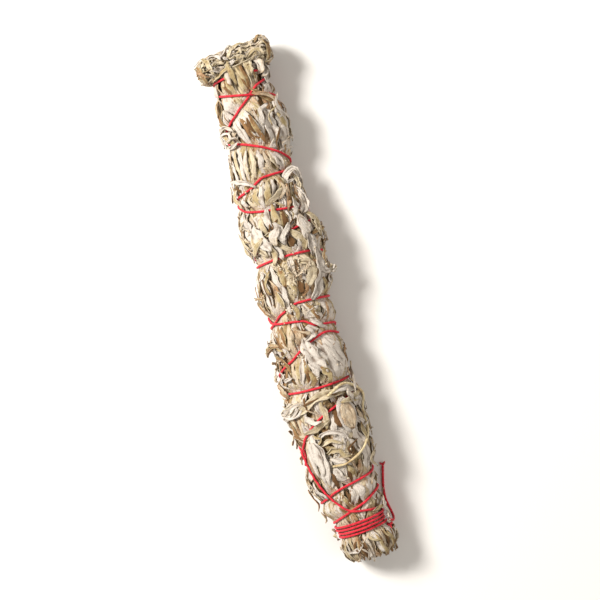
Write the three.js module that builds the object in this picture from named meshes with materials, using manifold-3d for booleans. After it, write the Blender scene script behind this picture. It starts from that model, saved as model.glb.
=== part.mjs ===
// A dried mugwort smudge stick: leafy sprigs packed round a core of bare stems, folded over at the
// tip, cut square at the butt and bound by one cotton thread that spirals up, back down and ends in
// a whipping with a knot and a short tail. It lies on its side, pressed flat where it rests.
// Units are millimetres, +Y runs from the cut butt to the folded tip, +Z is up.
import * as THREE from "three";
import Module from "manifold-3d";
import { mergeVertices } from "three/addons/utils/BufferGeometryUtils.js";

const wasm = await Module();
wasm.setup();

// ---- driving dimensions -------------------------------------------------------------------------
// The bundle under its thread: y, centre x, half width, half height, lift of the underside.
// A negative lift is the part that the resting bundle presses flat.
const STATIONS = [
  [-118, 1.2, 9.6, 8.3, -0.6],
  [-108, -0.2, 9.8, 8.8, 0.4],
  [-102, -1.0, 9.9, 8.8, 1.6],
  [-95, -2.0, 10.8, 9.4, 1.2],
  [-86, -2.6, 12.4, 10.8, -0.8],
  [-76, -3.1, 13.3, 11.6, -1.5],
  [-58, -2.9, 14.4, 12.4, -1.6],
  [-40, -3.6, 13.7, 11.9, -1.6],
  [-20, -3.0, 13.5, 11.7, -1.5],
  [0, -1.7, 13.0, 11.4, -1.5],
  [22, 0.2, 14.4, 12.2, -1.6],
  [36, -0.6, 14.2, 12.0, -1.5],
  [50, -2.2, 12.8, 11.2, -1.4],
  [66, -0.6, 11.4, 10.2, -1.2],
  [82, 0.6, 12.3, 10.7, -1.2],
  [98, -0.2, 11.3, 10.2, -1.0],
  [118, 0.4, 11.8, 9.6, -0.6],
];
const CENTRING = 1.3; // moves the finished bundle along X to the middle of its own box
const GAP = 0.55; // between neighbouring pieces
const TWIST = 0.0032; // radians of lay per millimetre of length

const STEM_RADIUS = 1.25;
const STEM_RING = 3.2; // from the middle stem to the six round it
const STEM_STEPS = 16;
const STEM_ENDS = [
  [-116.5, 92],
  [-115, 78],
  [-117, 96],
  [-114.5, 64],
  [-116, 84],
  [-115.5, 70],
  [-116.8, 90],
];

const INNER_RADIUS = 5.3; // the inner sprigs start clear of the stems
const LAYER_SHARE = 0.62; // inner sprigs end at this share of the radius
const LEAST_MID = 6.6;
const INNER_COUNT = 6;
const INNER_ENDS = [-114, 101];

const COLUMNS = 8; // outer sprigs round the bundle
const ROWS = 4; // and along it
const OUTER_ENDS = [-117, 103.5];
const STAGGER = 14; // every other column's joints are shifted this far
const SPRIG_STEPS = [8, 5, 5, 5]; // row by row, with more where the whipping narrows the bundle
const INNER_STEPS = 14;
const SLANT = 9; // a sprig's ends run askew by this much across its width
const SHINGLE = 5; // and its outer face reaches this much further along than its inner one
const PILLOW = 0.55; // how far a sprig's edges fall below its middle

const THREAD_RADIUS = 0.6;
const THREAD_LIFT = 1.15; // thread centre above the leaves
const THREAD_SUNK = 1.75; // extra depth where a later pass crosses over
const CROSSING_REACH = [1.9, 5]; // from lying deepest to lying free
const THREAD_FLOOR = 0.9; // thread centre above the surface that the bundle rests on
const GROOVE_RADIUS = 1.15;
const GROOVE_FLOOR = 0.75; // low enough for a groove underneath to open downwards
const STEPS_PER_TURN = 12;
const MEAN_RADIUS = 12.5; // for distances on the unrolled surface

// The binding, pass by pass over the top: [degrees, y] from the left flank (180) to the right (0).
const PASSES_UP = [
  [[185, -98.4], [90, -93.7], [0, -87.2]],
  [[180, -88.5], [90, -82.5], [0, -78.8]],
  [[180, -70], [139, -58.2], [90, -49.5], [0, -42.2]],
  [[180, -29], [125, -23.5], [90, -18], [50, -14.9], [0, -16.8]],
  [[180, -7], [121, -1.9], [90, 0.7], [0, 0]],
  [[180, 24], [90, 31.5], [0, 36]],
  [[180, 51], [121, 54.4], [90, 58], [0, 58.8]],
  [[180, 81], [141, 85], [90, 92.8], [55, 98.7], [0, 101.8]],
];
const PASSES_DOWN = [
  [[180, 104.2], [90, 104.6], [0, 104]],
  [[180, 99.4], [136, 97.3], [90, 95], [0, 92.2]],
  [[180, 77], [136, 75.3], [90, 71.5], [49, 67.2], [0, 62.5]],
  [[180, 49], [134, 44.8], [90, 42.7], [0, 40]],
  [[180, 20.5], [90, 21.8], [0, 20]],
  [[180, -3], [154, -5.6], [90, -7.6], [66, -10.8], [0, -12.3]],
  [[180, -37], [90, -37.7], [0, -37]],
  [[180, -61], [154, -73.8], [128, -86.2], [95, -94.1], [0, -97]],
];
const WHIPPING = { turns: 4, left: -100.6, rise: 2.05, pitch: 1.55 };

const KNOT_SIZE = [1.1, 1.9, 1.6];
const KNOT_OFF = [-0.3, -2.4, 1.6]; // from where the tail starts
const TAIL_ROUTE = [
  [11.7, -103.3, 10.2],
  [12.9, -104.5, 8.2],
  [13.8, -104.7, 5.2],
  [14.1, -103.6, 2.4],
  [13.8, -101.4, 0.9],
  [13.1, -98, 0.7],
  [12.8, -94.2, 0.7],
  [13.3, -89.8, 0.7],
  [14.4, -85.2, 0.7],
  [15.5, -81, 0.7],
];
const TAIL_STEPS = 14;

// The tip: sprig ends bent over it side by side, as [x, reach along y, half width].
const CROWN_FOLDS = [
  [-13.2, 113.6, 3.9],
  [-4.6, 114.6, 4.0],
  [4.1, 116.2, 4.0],
  [12.8, 117.6, 3.9],
];
const FOLD_THICKNESS = 2.5;

// A bare bent stalk that lies in a loop over the bundle near its butt: [x, y, height off the leaves].
const STALK_RADIUS = 0.55;
const STALK_ROUTE = [
  [1.2, -41, 1.6],
  [8, -40, 1.9],
  [12.6, -45.5, 2.4],
  [13.6, -53, 2.2],
  [12.6, -62, 2.0],
  [8, -68.6, 1.9],
  [1.4, -72, 1.6],
  [-4.4, -72.2, 1.5],
];

// Leaves that stand clear of the bundle's sides: [name, half width, thickness, route].
const LOOSE_LEAVES = [
  ["curled_leaf_right", 2.6, 0.7, [[12.9, 56, 14], [14.6, 53, 15.4], [14.9, 47, 15.2], [14.4, 43.5, 14.2]]],
  ["loose_tip_right", 1.1, 0.6, [[15.8, 17, 12.5], [17.2, 14, 13], [18.6, 12.2, 13.4]]],
  ["white_tuft_left", 1.9, 0.8, [[-19.2, -41, 11.4], [-20.2, -45, 12.3], [-20, -50, 11.8]]],
  ["brown_frond_left", 1.6, 0.8, [[-18.2, -10, 10], [-19.2, -17, 9.2], [-19.4, -24, 8.4]]],
];

const COLOURS = {
  leaf: [0xb9b29c, 0.9],
  inner: [0x7c7350, 0.95],
  stem: [0x9a7f58, 0.85],
  crown: [0xa39d80, 0.9],
  thread: [0xc4182c, 0.75],
  stalk: [0xcdbf94, 0.8],
};

// ---- the bundle's surface -----------------------------------------------------------------------
// A row of the table at any y, on smooth curves through its stations.
function sectionAt(y) {
  const last = STATIONS.length - 2;
  const found = STATIONS.findIndex((s, i) => i <= last && y < STATIONS[i + 1][0]);
  const i = found < 0 ? last : found;
  const [before, from, to, after] = [i - 1, i, i + 1, i + 2].map(
    (k) => STATIONS[Math.min(Math.max(k, 0), STATIONS.length - 1)],
  );
  const span = to[0] - from[0];
  const t = THREE.MathUtils.clamp((y - from[0]) / span, 0, 1);
  const [x, halfWidth, halfHeight, lift] = [1, 2, 3, 4].map((k) => {
    const slopeFrom = (to[k] - before[k]) / Math.max(to[0] - before[0], 1);
    const slopeTo = (after[k] - from[k]) / Math.max(after[0] - from[0], 1);
    const rise = to[k] - from[k];
    const bend = slopeFrom * span - rise;
    const unbend = rise - slopeTo * span;
    return from[k] + rise * t + t * (1 - t) * (bend * (1 - t) + unbend * t);
  });
  return { x, z: halfHeight + lift, halfWidth, halfHeight };
}

// A point at a share of the bundle's radius, or at a least distance from its middle line.
function pointIn(y, angle, share, least = 0, beyond = 0) {
  const s = sectionAt(y);
  const reach = Math.hypot(s.halfWidth * Math.cos(angle), s.halfHeight * Math.sin(angle));
  const k = Math.max(share, least / reach) + beyond / reach;
  const x = s.x + k * s.halfWidth * Math.cos(angle);
  const z = s.z + k * s.halfHeight * Math.sin(angle);
  return new THREE.Vector3(x, y, Math.max(z, 0));
}

// ---- pieces by warping boxes --------------------------------------------------------------------
// A box of unit size, cut into across, through and along segments, with every corner moved by place.
function warpedBox(across, through, along, place) {
  const box = new THREE.BoxGeometry(1, 1, 1, across, through, along);
  const at = box.getAttribute("position");
  for (let i = 0; i < at.count; i++) {
    const p = place(at.getX(i) + 0.5, at.getY(i) + 0.5, at.getZ(i) + 0.5);
    at.setXYZ(i, p.x, p.y, p.z);
  }
  return box;
}

function outerSprig(column, row) {
  const width = (2 * Math.PI) / COLUMNS;
  const [butt, tip] = OUTER_ENDS;
  const length = (tip - butt) / ROWS;
  const shift = column % 2 ? STAGGER : -STAGGER / 2;
  const start = row === 0 ? butt : butt + row * length + shift;
  const end = row === ROWS - 1 ? tip : butt + (row + 1) * length + shift;
  return warpedBox(2, 1, SPRIG_STEPS[row], (u, v, w) => {
    // The butt and the tip are cut square; every other joint runs askew and shingled.
    const askewStart = row === 0 ? 0 : 1;
    const askewEnd = row === ROWS - 1 ? 0 : 1;
    const askew = THREE.MathUtils.lerp(askewStart, askewEnd, w);
    const skew = askew * ((u - 0.5) * SLANT + (v - 0.5) * SHINGLE);
    const y = THREE.MathUtils.lerp(start + GAP / 2, end - GAP / 2, w) + skew;
    const side = (u - 0.5) * (width - GAP / 8);
    const angle = column * width + TWIST * y + side;
    const edge = Math.abs(2 * u - 1) ** 3 * PILLOW;
    if (v < 0.5) return pointIn(y, angle, LAYER_SHARE, LEAST_MID, GAP);
    return pointIn(y, angle, 1, 0, -edge);
  });
}

function innerSprig(column) {
  const width = (2 * Math.PI) / INNER_COUNT;
  const [butt, tip] = INNER_ENDS;
  return warpedBox(2, 1, INNER_STEPS, (u, v, w) => {
    const y = THREE.MathUtils.lerp(butt, tip - (column % 3) * 4, w);
    const angle = (column + 0.5) * width + TWIST * y + (u - 0.5) * (width - GAP / 5);
    if (v < 0.5) return pointIn(y, angle, 0, INNER_RADIUS);
    return pointIn(y, angle, LAYER_SHARE, LEAST_MID);
  });
}

// ---- pieces by sweeping sections ----------------------------------------------------------------
function sectionShape(halfWidth, halfHeight, sides) {
  const points = Array.from({ length: sides }, (_, i) => {
    const a = (i / sides) * 2 * Math.PI;
    return new THREE.Vector2(halfWidth * Math.cos(a), halfHeight * Math.sin(a));
  });
  return new THREE.Shape(points);
}

function sweep(points, halfWidth, halfHeight, sides, steps) {
  const path = new THREE.CatmullRomCurve3(points, false, "centripetal");
  path.arcLengthDivisions = points.length * 20;
  const shape = sectionShape(halfWidth, halfHeight, sides);
  return new THREE.ExtrudeGeometry(shape, { steps, extrudePath: path });
}

function stem(index) {
  const turn = (index - 1) * (Math.PI / 3);
  const ring = index === 0 ? 0 : STEM_RING;
  const [from, to] = STEM_ENDS[index];
  const points = Array.from({ length: STEM_STEPS + 1 }, (_, i) => {
    const y = THREE.MathUtils.lerp(from, to, i / STEM_STEPS);
    const s = sectionAt(y);
    return new THREE.Vector3(s.x + ring * Math.cos(turn), y, s.z + ring * Math.sin(turn));
  });
  return sweep(points, STEM_RADIUS, STEM_RADIUS, 6, STEM_STEPS);
}

// One sprig end bent back over the tip, from the upper face round to the lower one.
function crownFold([x, reach, halfWidth]) {
  const root = sectionAt(OUTER_ENDS[1]);
  const top = root.z + root.halfHeight - FOLD_THICKNESS - 0.6;
  const foot = FOLD_THICKNESS + 0.6;
  const back = OUTER_ENDS[1] + FOLD_THICKNESS + 1;
  const front = reach - FOLD_THICKNESS;
  const points = [
    [x, back, top],
    [x, (back + front) / 2, top + 0.5],
    [x, front, top * 0.74],
    [x, front + 0.2, top * 0.5],
    [x, front - 0.4, top * 0.3],
    [x, (back + front) / 2, foot],
    [x, back, foot],
  ].map((p) => new THREE.Vector3(...p));
  return sweep(points, halfWidth, FOLD_THICKNESS, 8, 10);
}

function looseLeaf([, halfWidth, halfThickness, route]) {
  const points = route.map((p) => new THREE.Vector3(...p));
  return sweep(points, halfThickness, halfWidth, 8, 6);
}

// ---- the thread ---------------------------------------------------------------------------------
// Each pass's points as [turning angle in degrees, y], the angle falling all the way along.
function threadStations() {
  const passes = [...PASSES_UP, ...PASSES_DOWN];
  for (let i = 0; i < WHIPPING.turns; i++) {
    const left = WHIPPING.left - i * WHIPPING.pitch;
    passes.push([[180, left], [0, left + WHIPPING.rise]]);
  }
  return passes.flatMap((pass, i) => pass.map(([angle, y]) => [angle - 360 * i, y]));
}

// y where the thread has turned to an angle, by a curve that never overshoots its stations.
function threadY(stations, angle) {
  const last = stations.length - 2;
  const found = stations.findIndex((s, i) => i <= last && angle > stations[i + 1][0]);
  const i = found < 0 ? last : found;
  const slope = (k) => {
    if (k < 1 || k > last) return 0;
    const [a, b, c] = [stations[k - 1], stations[k], stations[k + 1]];
    const before = (b[1] - a[1]) / (b[0] - a[0]);
    const after = (c[1] - b[1]) / (c[0] - b[0]);
    return before * after <= 0 ? 0 : (2 * before * after) / (before + after);
  };
  const [from, to] = [stations[i], stations[i + 1]];
  const span = to[0] - from[0];
  const t = THREE.MathUtils.clamp((angle - from[0]) / span, 0, 1);
  const rise = to[1] - from[1];
  const bend = slope(i) * span - rise;
  const unbend = rise - slope(i + 1) * span;
  return from[1] + rise * t + t * (1 - t) * (bend * (1 - t) + unbend * t);
}

// The thread's middle line. Where a later pass crosses over, the earlier one is pulled in deeper.
function threadPoints(floor) {
  const stations = threadStations();
  const first = stations[0][0];
  const final = stations.at(-1)[0];
  const upEnds = 180 - 360 * PASSES_UP.length;
  const count = Math.round(((first - final) / 360) * STEPS_PER_TURN);
  const samples = Array.from({ length: count + 1 }, (_, i) => {
    const turned = THREE.MathUtils.lerp(first, final, i / count);
    return { turned, y: threadY(stations, turned) };
  });
  const later = samples.filter((s) => s.turned <= upEnds);
  return samples.map((s) => {
    const near = Math.min(...later.map((o) => surfaceDistance(s, o)));
    const free = THREE.MathUtils.smoothstep(near, ...CROSSING_REACH);
    const sunk = s.turned > upEnds ? THREAD_SUNK * (1 - free) : 0;
    const p = pointIn(s.y, THREE.MathUtils.degToRad(s.turned), 1, 0, THREAD_LIFT - sunk);
    p.z = Math.max(p.z, floor + sunk);
    return p;
  });
}

function surfaceDistance(a, b) {
  const turn = THREE.MathUtils.euclideanModulo(a.turned - b.turned + 180, 360) - 180;
  return Math.hypot(a.y - b.y, THREE.MathUtils.degToRad(turn) * MEAN_RADIUS);
}

function threadTube(radius, floor, sides) {
  const points = threadPoints(floor);
  return sweep(points, radius, radius, sides, points.length - 1);
}

// ---- joining and cutting ------------------------------------------------------------------------
function toSolid(geometry) {
  const bare = geometry.clone();
  bare.deleteAttribute("normal");
  bare.deleteAttribute("uv");
  const merged = mergeVertices(bare, 1e-3);
  const triVerts = new Uint32Array(merged.getIndex().array);
  const vertProperties = merged.getAttribute("position").array;
  return new wasm.Manifold(new wasm.Mesh({ numProp: 3, vertProperties, triVerts }));
}

// A cut can part a thin sliver from a sprig's edge, so only the sprig itself is kept.
function largestOf(solid) {
  const parts = solid.decompose();
  return parts.reduce((most, part) => (part.volume() > most.volume() ? part : most));
}

function toGeometry(solid) {
  const mesh = solid.getMesh();
  const geometry = new THREE.BufferGeometry();
  geometry.setAttribute("position", new THREE.BufferAttribute(mesh.vertProperties, 3));
  geometry.setIndex(new THREE.BufferAttribute(mesh.triVerts, 1));
  geometry.computeVertexNormals();
  return geometry;
}

// ---- the object ---------------------------------------------------------------------------------
const bundle = new THREE.Group();
bundle.position.x = CENTRING;

function add(name, geometry, [colour, roughness]) {
  const material = new THREE.MeshStandardMaterial({ color: colour, roughness, metalness: 0 });
  const mesh = new THREE.Mesh(geometry, material);
  mesh.name = name;
  bundle.add(mesh);
  return mesh;
}

const number = (n) => String(n).padStart(2, "0");

STEM_ENDS.forEach((_, i) => add(`core_stem_${i + 1}`, stem(i), COLOURS.stem));

for (let i = 0; i < INNER_COUNT; i++) add(`inner_sprig_${i + 1}`, innerSprig(i), COLOURS.inner);

const groove = toSolid(threadTube(GROOVE_RADIUS, GROOVE_FLOOR, 5));
for (let row = 0; row < ROWS; row++) {
  for (let column = 0; column < COLUMNS; column++) {
    const pressed = largestOf(toSolid(outerSprig(column, row)).subtract(groove));
    const name = `leafy_sprig_${number(row * COLUMNS + column + 1)}`;
    add(name, toGeometry(pressed), COLOURS.leaf);
  }
}

CROWN_FOLDS.forEach((fold, i) => add(`crown_fold_${i + 1}`, crownFold(fold), COLOURS.crown));

add("binding_thread", threadTube(THREAD_RADIUS, THREAD_FLOOR, 6), COLOURS.thread);

const knot = add("thread_knot", new THREE.SphereGeometry(1, 10, 7), COLOURS.thread);
knot.scale.set(...KNOT_SIZE);
knot.position.fromArray(TAIL_ROUTE[0]).add(new THREE.Vector3(...KNOT_OFF));

const tail = TAIL_ROUTE.map((p) => new THREE.Vector3(...p));
add("thread_tail", sweep(tail, THREAD_RADIUS, THREAD_RADIUS, 8, TAIL_STEPS), COLOURS.thread);

const stalk = STALK_ROUTE.map(([x, y, above]) => {
  const s = sectionAt(y);
  const sideways = THREE.MathUtils.clamp((x - s.x) / s.halfWidth, -1, 1);
  return new THREE.Vector3(x, y, s.z + s.halfHeight * Math.sqrt(1 - sideways ** 2) + above);
});
add("bent_stalk", sweep(stalk, STALK_RADIUS, STALK_RADIUS, 6, 18), COLOURS.stalk);

for (const leaf of LOOSE_LEAVES) add(leaf[0], looseLeaf(leaf), COLOURS.leaf);

export default bundle;
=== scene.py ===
"""A dried mugwort smudge stick, laid on its side: leafy sprigs bound with red cotton thread.

Sizes are written in millimetres and made into metres where a mesh is built. Along the stick is Y,
from the cut butt to the folded tip. Round it, 0 degrees is the right flank and 90 is the top.
"""
import math

import bmesh
import bpy
import numpy as np
from mathutils import Matrix, Vector


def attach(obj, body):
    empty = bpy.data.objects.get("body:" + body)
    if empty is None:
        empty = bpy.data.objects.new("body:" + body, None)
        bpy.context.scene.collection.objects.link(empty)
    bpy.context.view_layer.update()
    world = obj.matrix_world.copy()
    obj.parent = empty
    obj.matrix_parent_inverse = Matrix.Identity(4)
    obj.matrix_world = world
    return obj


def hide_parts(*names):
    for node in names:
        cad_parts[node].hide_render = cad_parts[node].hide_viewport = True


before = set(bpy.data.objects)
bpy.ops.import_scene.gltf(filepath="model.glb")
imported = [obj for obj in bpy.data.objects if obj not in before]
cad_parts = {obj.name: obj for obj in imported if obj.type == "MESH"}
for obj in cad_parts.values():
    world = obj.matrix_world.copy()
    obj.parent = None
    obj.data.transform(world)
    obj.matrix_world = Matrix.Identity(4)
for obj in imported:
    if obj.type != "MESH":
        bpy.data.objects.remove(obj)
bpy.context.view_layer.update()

MM = 0.001
rng = np.random.default_rng(17)

# ---- the bundle's form, as the CAD part has it --------------------------------------------------
# y, centre x, half width, half height, lift of the underside
STATIONS = np.array([
    (-118, 1.2, 9.6, 8.3, -0.6),
    (-108, -0.2, 9.8, 8.8, 0.4),
    (-102, -1.0, 9.9, 8.8, 1.6),
    (-95, -2.0, 10.8, 9.4, 1.2),
    (-86, -2.6, 12.4, 10.8, -0.8),
    (-76, -3.1, 13.3, 11.6, -1.5),
    (-58, -2.9, 14.4, 12.4, -1.6),
    (-40, -3.6, 13.7, 11.9, -1.6),
    (-20, -3.0, 13.5, 11.7, -1.5),
    (0, -1.7, 13.0, 11.4, -1.5),
    (22, 0.2, 14.4, 12.2, -1.6),
    (36, -0.6, 14.2, 12.0, -1.5),
    (50, -2.2, 12.8, 11.2, -1.4),
    (66, -0.6, 11.4, 10.2, -1.2),
    (82, 0.6, 12.3, 10.7, -1.2),
    (98, -0.2, 11.3, 10.2, -1.0),
    (118, 0.4, 11.8, 9.6, -0.6),
])
CENTRING = 1.3
TWIST = 0.0032
COLUMNS = 8
ROW_STARTS = (-62, -7, 48)
MEAN_RADIUS = 12.5

THREAD_RADIUS = 0.6
THREAD_LIFT = 1.15
THREAD_SUNK = 1.15
PASSES_UP = (
    ((185, -98.4), (90, -93.7), (0, -87.2)),
    ((180, -88.5), (90, -82.5), (0, -78.8)),
    ((180, -70), (139, -58.2), (90, -49.5), (0, -42.2)),
    ((180, -29), (125, -23.5), (90, -18), (50, -14.9), (0, -16.8)),
    ((180, -7), (121, -1.9), (90, 0.7), (0, 0)),
    ((180, 24), (90, 31.5), (0, 36)),
    ((180, 51), (121, 54.4), (90, 58), (0, 58.8)),
    ((180, 81), (141, 85), (90, 92.8), (55, 98.7), (0, 101.8)),
)
PASSES_DOWN = (
    ((180, 104.2), (90, 104.6), (0, 104)),
    ((180, 99.4), (136, 97.3), (90, 95), (0, 92.2)),
    ((180, 77), (136, 75.3), (90, 71.5), (49, 67.2), (0, 62.5)),
    ((180, 49), (134, 44.8), (90, 42.7), (0, 40)),
    ((180, 20.5), (90, 21.8), (0, 20)),
    ((180, -3), (154, -5.6), (90, -7.6), (66, -10.8), (0, -12.3)),
    ((180, -37), (90, -37.7), (0, -37)),
    ((180, -61), (154, -73.8), (128, -86.2), (95, -94.1), (0, -97)),
)
WHIPPING_TURNS = 4
WHIPPING_LEFT = -100.6
WHIPPING_RISE = 2.05
WHIPPING_PITCH = 1.55

TAIL_ROUTE = (
    (11.7, -103.3, 10.2),
    (12.9, -104.5, 8.2),
    (13.8, -104.7, 5.2),
    (14.1, -103.6, 2.4),
    (13.8, -101.4, 0.9),
    (13.1, -98, 0.7),
    (12.8, -94.2, 0.7),
    (13.3, -89.8, 0.7),
    (14.4, -85.2, 0.7),
    (15.5, -81, 0.7),
)
# From above: the bent stalk's route, twig ends (x, y, slant) and bud clusters (x, y, spread, count)
BENT_STALK = (
    (-0.7, -41.9), (6.6, -38.8), (11.9, -44.9), (12.5, -52.9), (11.4, -61.9), (6.8, -68.5),
    (-0.3, -72.5), (-5.8, -72.4),
)
TWIGS = (
    (-18.0, 9.7, 3), (-19.8, 4.5, 3), (-18.8, 2.7, -2), (-19.9, 7.3, 1), (-21.0, -31.8, 3),
    (-20.8, -35, 2), (-20.0, -39.2, 2), (-19.6, -13.4, 2), (-18.0, 44.0, 3), (-17.5, 30.0, 2),
)
BUD_CLUSTERS = (
    (-2.9, 17, 3.2, 26), (-2.4, 9, 3, 26), (-6.8, -0.4, 2.6, 24), (2.8, 14.5, 2.4, 12),
    (-16.7, -22.7, 1.6, 10), (-20.2, -32.4, 2.4, 34), (-18.8, -38.8, 2, 20), (-14.5, 35.5, 2, 12),
    (-14, 27.4, 1.6, 12), (14.1, 25.3, 2.4, 14), (13.5, 16.2, 2, 10), (-16.8, -81.9, 1.2, 10),
    (-0.3, -72.5, 2.6, 14), (-6.6, -19.9, 2.5, 10), (1.1, -33.6, 3, 10), (7.9, 63.1, 1, 3),
    (11.6, 73.1, 1, 3), (-9.8, 52.7, 2, 8),
)


def hermite(table, x):
    """Rows of a table at any x, on smooth curves through its stations."""
    keys = table[:, 0]
    i = np.clip(np.searchsorted(keys, x, side="right") - 1, 0, len(keys) - 2)
    before, after = np.maximum(i - 1, 0), np.minimum(i + 2, len(keys) - 1)
    span = keys[i + 1] - keys[i]
    t = np.clip((x - keys[i]) / span, 0, 1)[..., None]
    value = table[:, 1:]
    slope_from = (value[i + 1] - value[before]) / np.maximum(keys[i + 1] - keys[before], 1)[..., None]
    slope_to = (value[after] - value[i]) / np.maximum(keys[after] - keys[i], 1)[..., None]
    rise = value[i + 1] - value[i]
    bend = slope_from * span[..., None] - rise
    unbend = rise - slope_to * span[..., None]
    return value[i] + rise * t + t * (1 - t) * (bend * (1 - t) + unbend * t)


def above_surface(z):
    """Presses what would sink through the resting surface flat against it, keeping its order."""
    soft, least = 1.5, 0.3
    bend = soft - least
    return np.where(z > soft, z, least + bend * np.exp(np.minimum(z - soft, 0) / bend))


class Form:
    """A rounded bar that leaves are laid on: places along it, round it (degrees) and off it."""

    def __init__(self, low, high, section):
        self.low, self.high, self.section = low, high, section
        self.rows, self.turns = int((high - low) * 2) + 1, 180
        self.relief = np.full((self.rows, self.turns), -1.6)
        self.limit = np.full((self.rows, self.turns), 9.0)

    def cell(self, a, b):
        row = np.clip((a - self.low) * 2, 0, self.rows - 1.001)
        turn = np.mod(b, 360) / 360 * self.turns
        return row, turn

    def sample(self, field, a, b):
        row, turn = self.cell(a, b)
        i, j = row.astype(int), turn.astype(int)
        s, t = row - i, turn - j
        j1 = (j + 1) % self.turns
        j = j % self.turns
        low = field[i, j] * (1 - t) + field[i, j1] * t
        high = field[i + 1, j] * (1 - t) + field[i + 1, j1] * t
        return low * (1 - s) + high * s

    def stamp(self, a, b, height):
        row, turn = self.cell(a, b)
        i = np.rint(row).astype(int).ravel()
        j = np.rint(turn).astype(int).ravel() % self.turns
        for di, dj in ((0, 0), (0, 1), (1, 0), (1, 1)):
            at = (np.clip(i + di, 0, self.rows - 1), (j + dj) % self.turns)
            np.maximum.at(self.relief, at, height.ravel())

    def place(self, a, b, height):
        centre, first, second, reach_first, reach_second = self.section(a)
        angle = np.radians(b)
        x = ((reach_first + height) * np.cos(angle))[..., None]
        z = ((reach_second + height) * np.sin(angle))[..., None]
        p = centre + first * x + second * z
        p[..., 2] = above_surface(p[..., 2])
        return p


def bundle_section(y):
    rows = hermite(STATIONS, y)
    centre = np.stack([rows[..., 0] + CENTRING, y, rows[..., 2] + rows[..., 3]], -1)
    return centre, np.array((1.0, 0, 0)), np.array((0, 0, 1.0)), rows[..., 1], rows[..., 2]


# The tip's roll of folded leaves lies across the bundle, its right end a little further out.
CROWN_TILT = math.radians(6.5)
CROWN_AXIS = np.array((-math.cos(CROWN_TILT), -math.sin(CROWN_TILT), 0.0))
CROWN_ACROSS = np.array((-math.sin(CROWN_TILT), math.cos(CROWN_TILT), 0.0))
CROWN_CENTRE = np.array((0.3 + CENTRING, 112.2, 10.4))
CROWN_HALF = 17.0
CROWN_REACH = (3.9, 7.4)
CROWN_ENDS = (-16.0, 18.6)


def crown_section(a):
    a = np.asarray(a, float)
    t = np.clip(np.abs(a) / CROWN_HALF, 0, 1.12)
    full = np.maximum(1 - 0.45 * t ** 3, 0.25) + 0.10 * np.cos(a * 0.5 + 0.4) + 0.06 * np.sin(a * 1.3)
    centre = CROWN_CENTRE + CROWN_AXIS * a[..., None]
    second = np.array((0, 0, 1.0))
    return centre, CROWN_ACROSS, second, CROWN_REACH[0] * full, CROWN_REACH[1] * full


bundle = Form(-119, 112, bundle_section)
crown = Form(-20, 20, crown_section)


# ---- the thread's route -------------------------------------------------------------------------
def thread_samples(step_mm):
    stations = []
    passes = list(PASSES_UP + PASSES_DOWN)
    for i in range(WHIPPING_TURNS):
        left = WHIPPING_LEFT - i * WHIPPING_PITCH
        passes.append(((180, left), (0, left + WHIPPING_RISE)))
    for i, points in enumerate(passes):
        stations += [(angle - 360 * i, y) for angle, y in points]
    keys = np.array([s[0] for s in stations], float)
    ys = np.array([s[1] for s in stations], float)
    steps = np.diff(ys) / np.diff(keys)
    slopes = np.zeros(len(keys))
    same = steps[1:] * steps[:-1] > 0
    slopes[1:-1][same] = (2 * steps[1:] * steps[:-1] / (steps[1:] + steps[:-1] + 1e-12))[same]
    count = int((keys[0] - keys[-1]) / 360 * 2 * math.pi * MEAN_RADIUS / step_mm)
    turned = np.linspace(keys[0], keys[-1], count)
    i = np.clip(np.searchsorted(-keys, -turned, side="right") - 1, 0, len(keys) - 2)
    span = keys[i + 1] - keys[i]
    t = (turned - keys[i]) / span
    rise = ys[i + 1] - ys[i]
    bend, unbend = slopes[i] * span - rise, rise - slopes[i + 1] * span
    return turned, ys[i] + rise * t + t * (1 - t) * (bend * (1 - t) + unbend * t)


thread_turned, thread_y = thread_samples(0.42)
LAST_UP = 180 - 360 * len(PASSES_UP)
is_up = thread_turned > LAST_UP


def thread_heights():
    """The thread's height off the leaves: it gives a little, and the first pass dips at crossings."""
    height = THREAD_LIFT + 0.22 * np.sin(np.radians(thread_turned) * 2.3) + 0.16 * np.sin(thread_y * 1.7)
    later_turned, later_y = thread_turned[~is_up], thread_y[~is_up]
    for k in np.nonzero(is_up)[0]:
        turn = np.mod(thread_turned[k] - later_turned + 180, 360) - 180
        gap = np.hypot(thread_y[k] - later_y, np.radians(turn) * MEAN_RADIUS).min()
        t = np.clip((gap - 1.2) / 3.2, 0, 1)
        height[k] -= THREAD_SUNK * (1 - t * t * (3 - 2 * t))
    return height


thread_height = thread_heights()

for row in range(bundle.rows):
    y = bundle.low + row / 2
    near = np.abs(thread_y - y) < 9
    if not near.any():
        continue
    degrees = np.arange(bundle.turns)[:, None] * 360 / bundle.turns
    turn = np.mod(thread_turned[near][None, :] - degrees + 180, 360) - 180
    away = np.hypot(thread_y[near][None, :] - y, np.radians(turn) * MEAN_RADIUS)
    under = thread_height[near] - THREAD_RADIUS - 0.25
    rising = under[None, :] + 4.6 * (1 - np.exp(-(np.maximum(away - 0.5, 0) / 4.2) ** 1.35))
    bundle.limit[row] = np.minimum(bundle.limit[row], rising.min(1))
bundle.limit = np.minimum(bundle.limit, 3.6)
crown.limit[:] = 3.6


# ---- leaves -------------------------------------------------------------------------------------
FELT, OLIVE = False, True
LEAF_THICKNESS = 0.26
TOP_TURN = 100.5   # leaves from under the tip lie over the thread beyond here
OVER_ROOM = 4.6    # how far off the form a leaf over the thread may stand
PRESS = 0.9        # how softly a leaf is pressed down to the room that it has

pieces = {}
blades = {}


def leaf_layers(bm):
    """The marks that every leaf carries: its tone, the painted shade of how deep in a fold it lies, and its
    own map.
    """
    bm.verts.layers.float.new("tone")
    bm.verts.layers.float.new("painted_fold_shade")
    bm.loops.layers.uv.new("leaf")
    return bm


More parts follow.
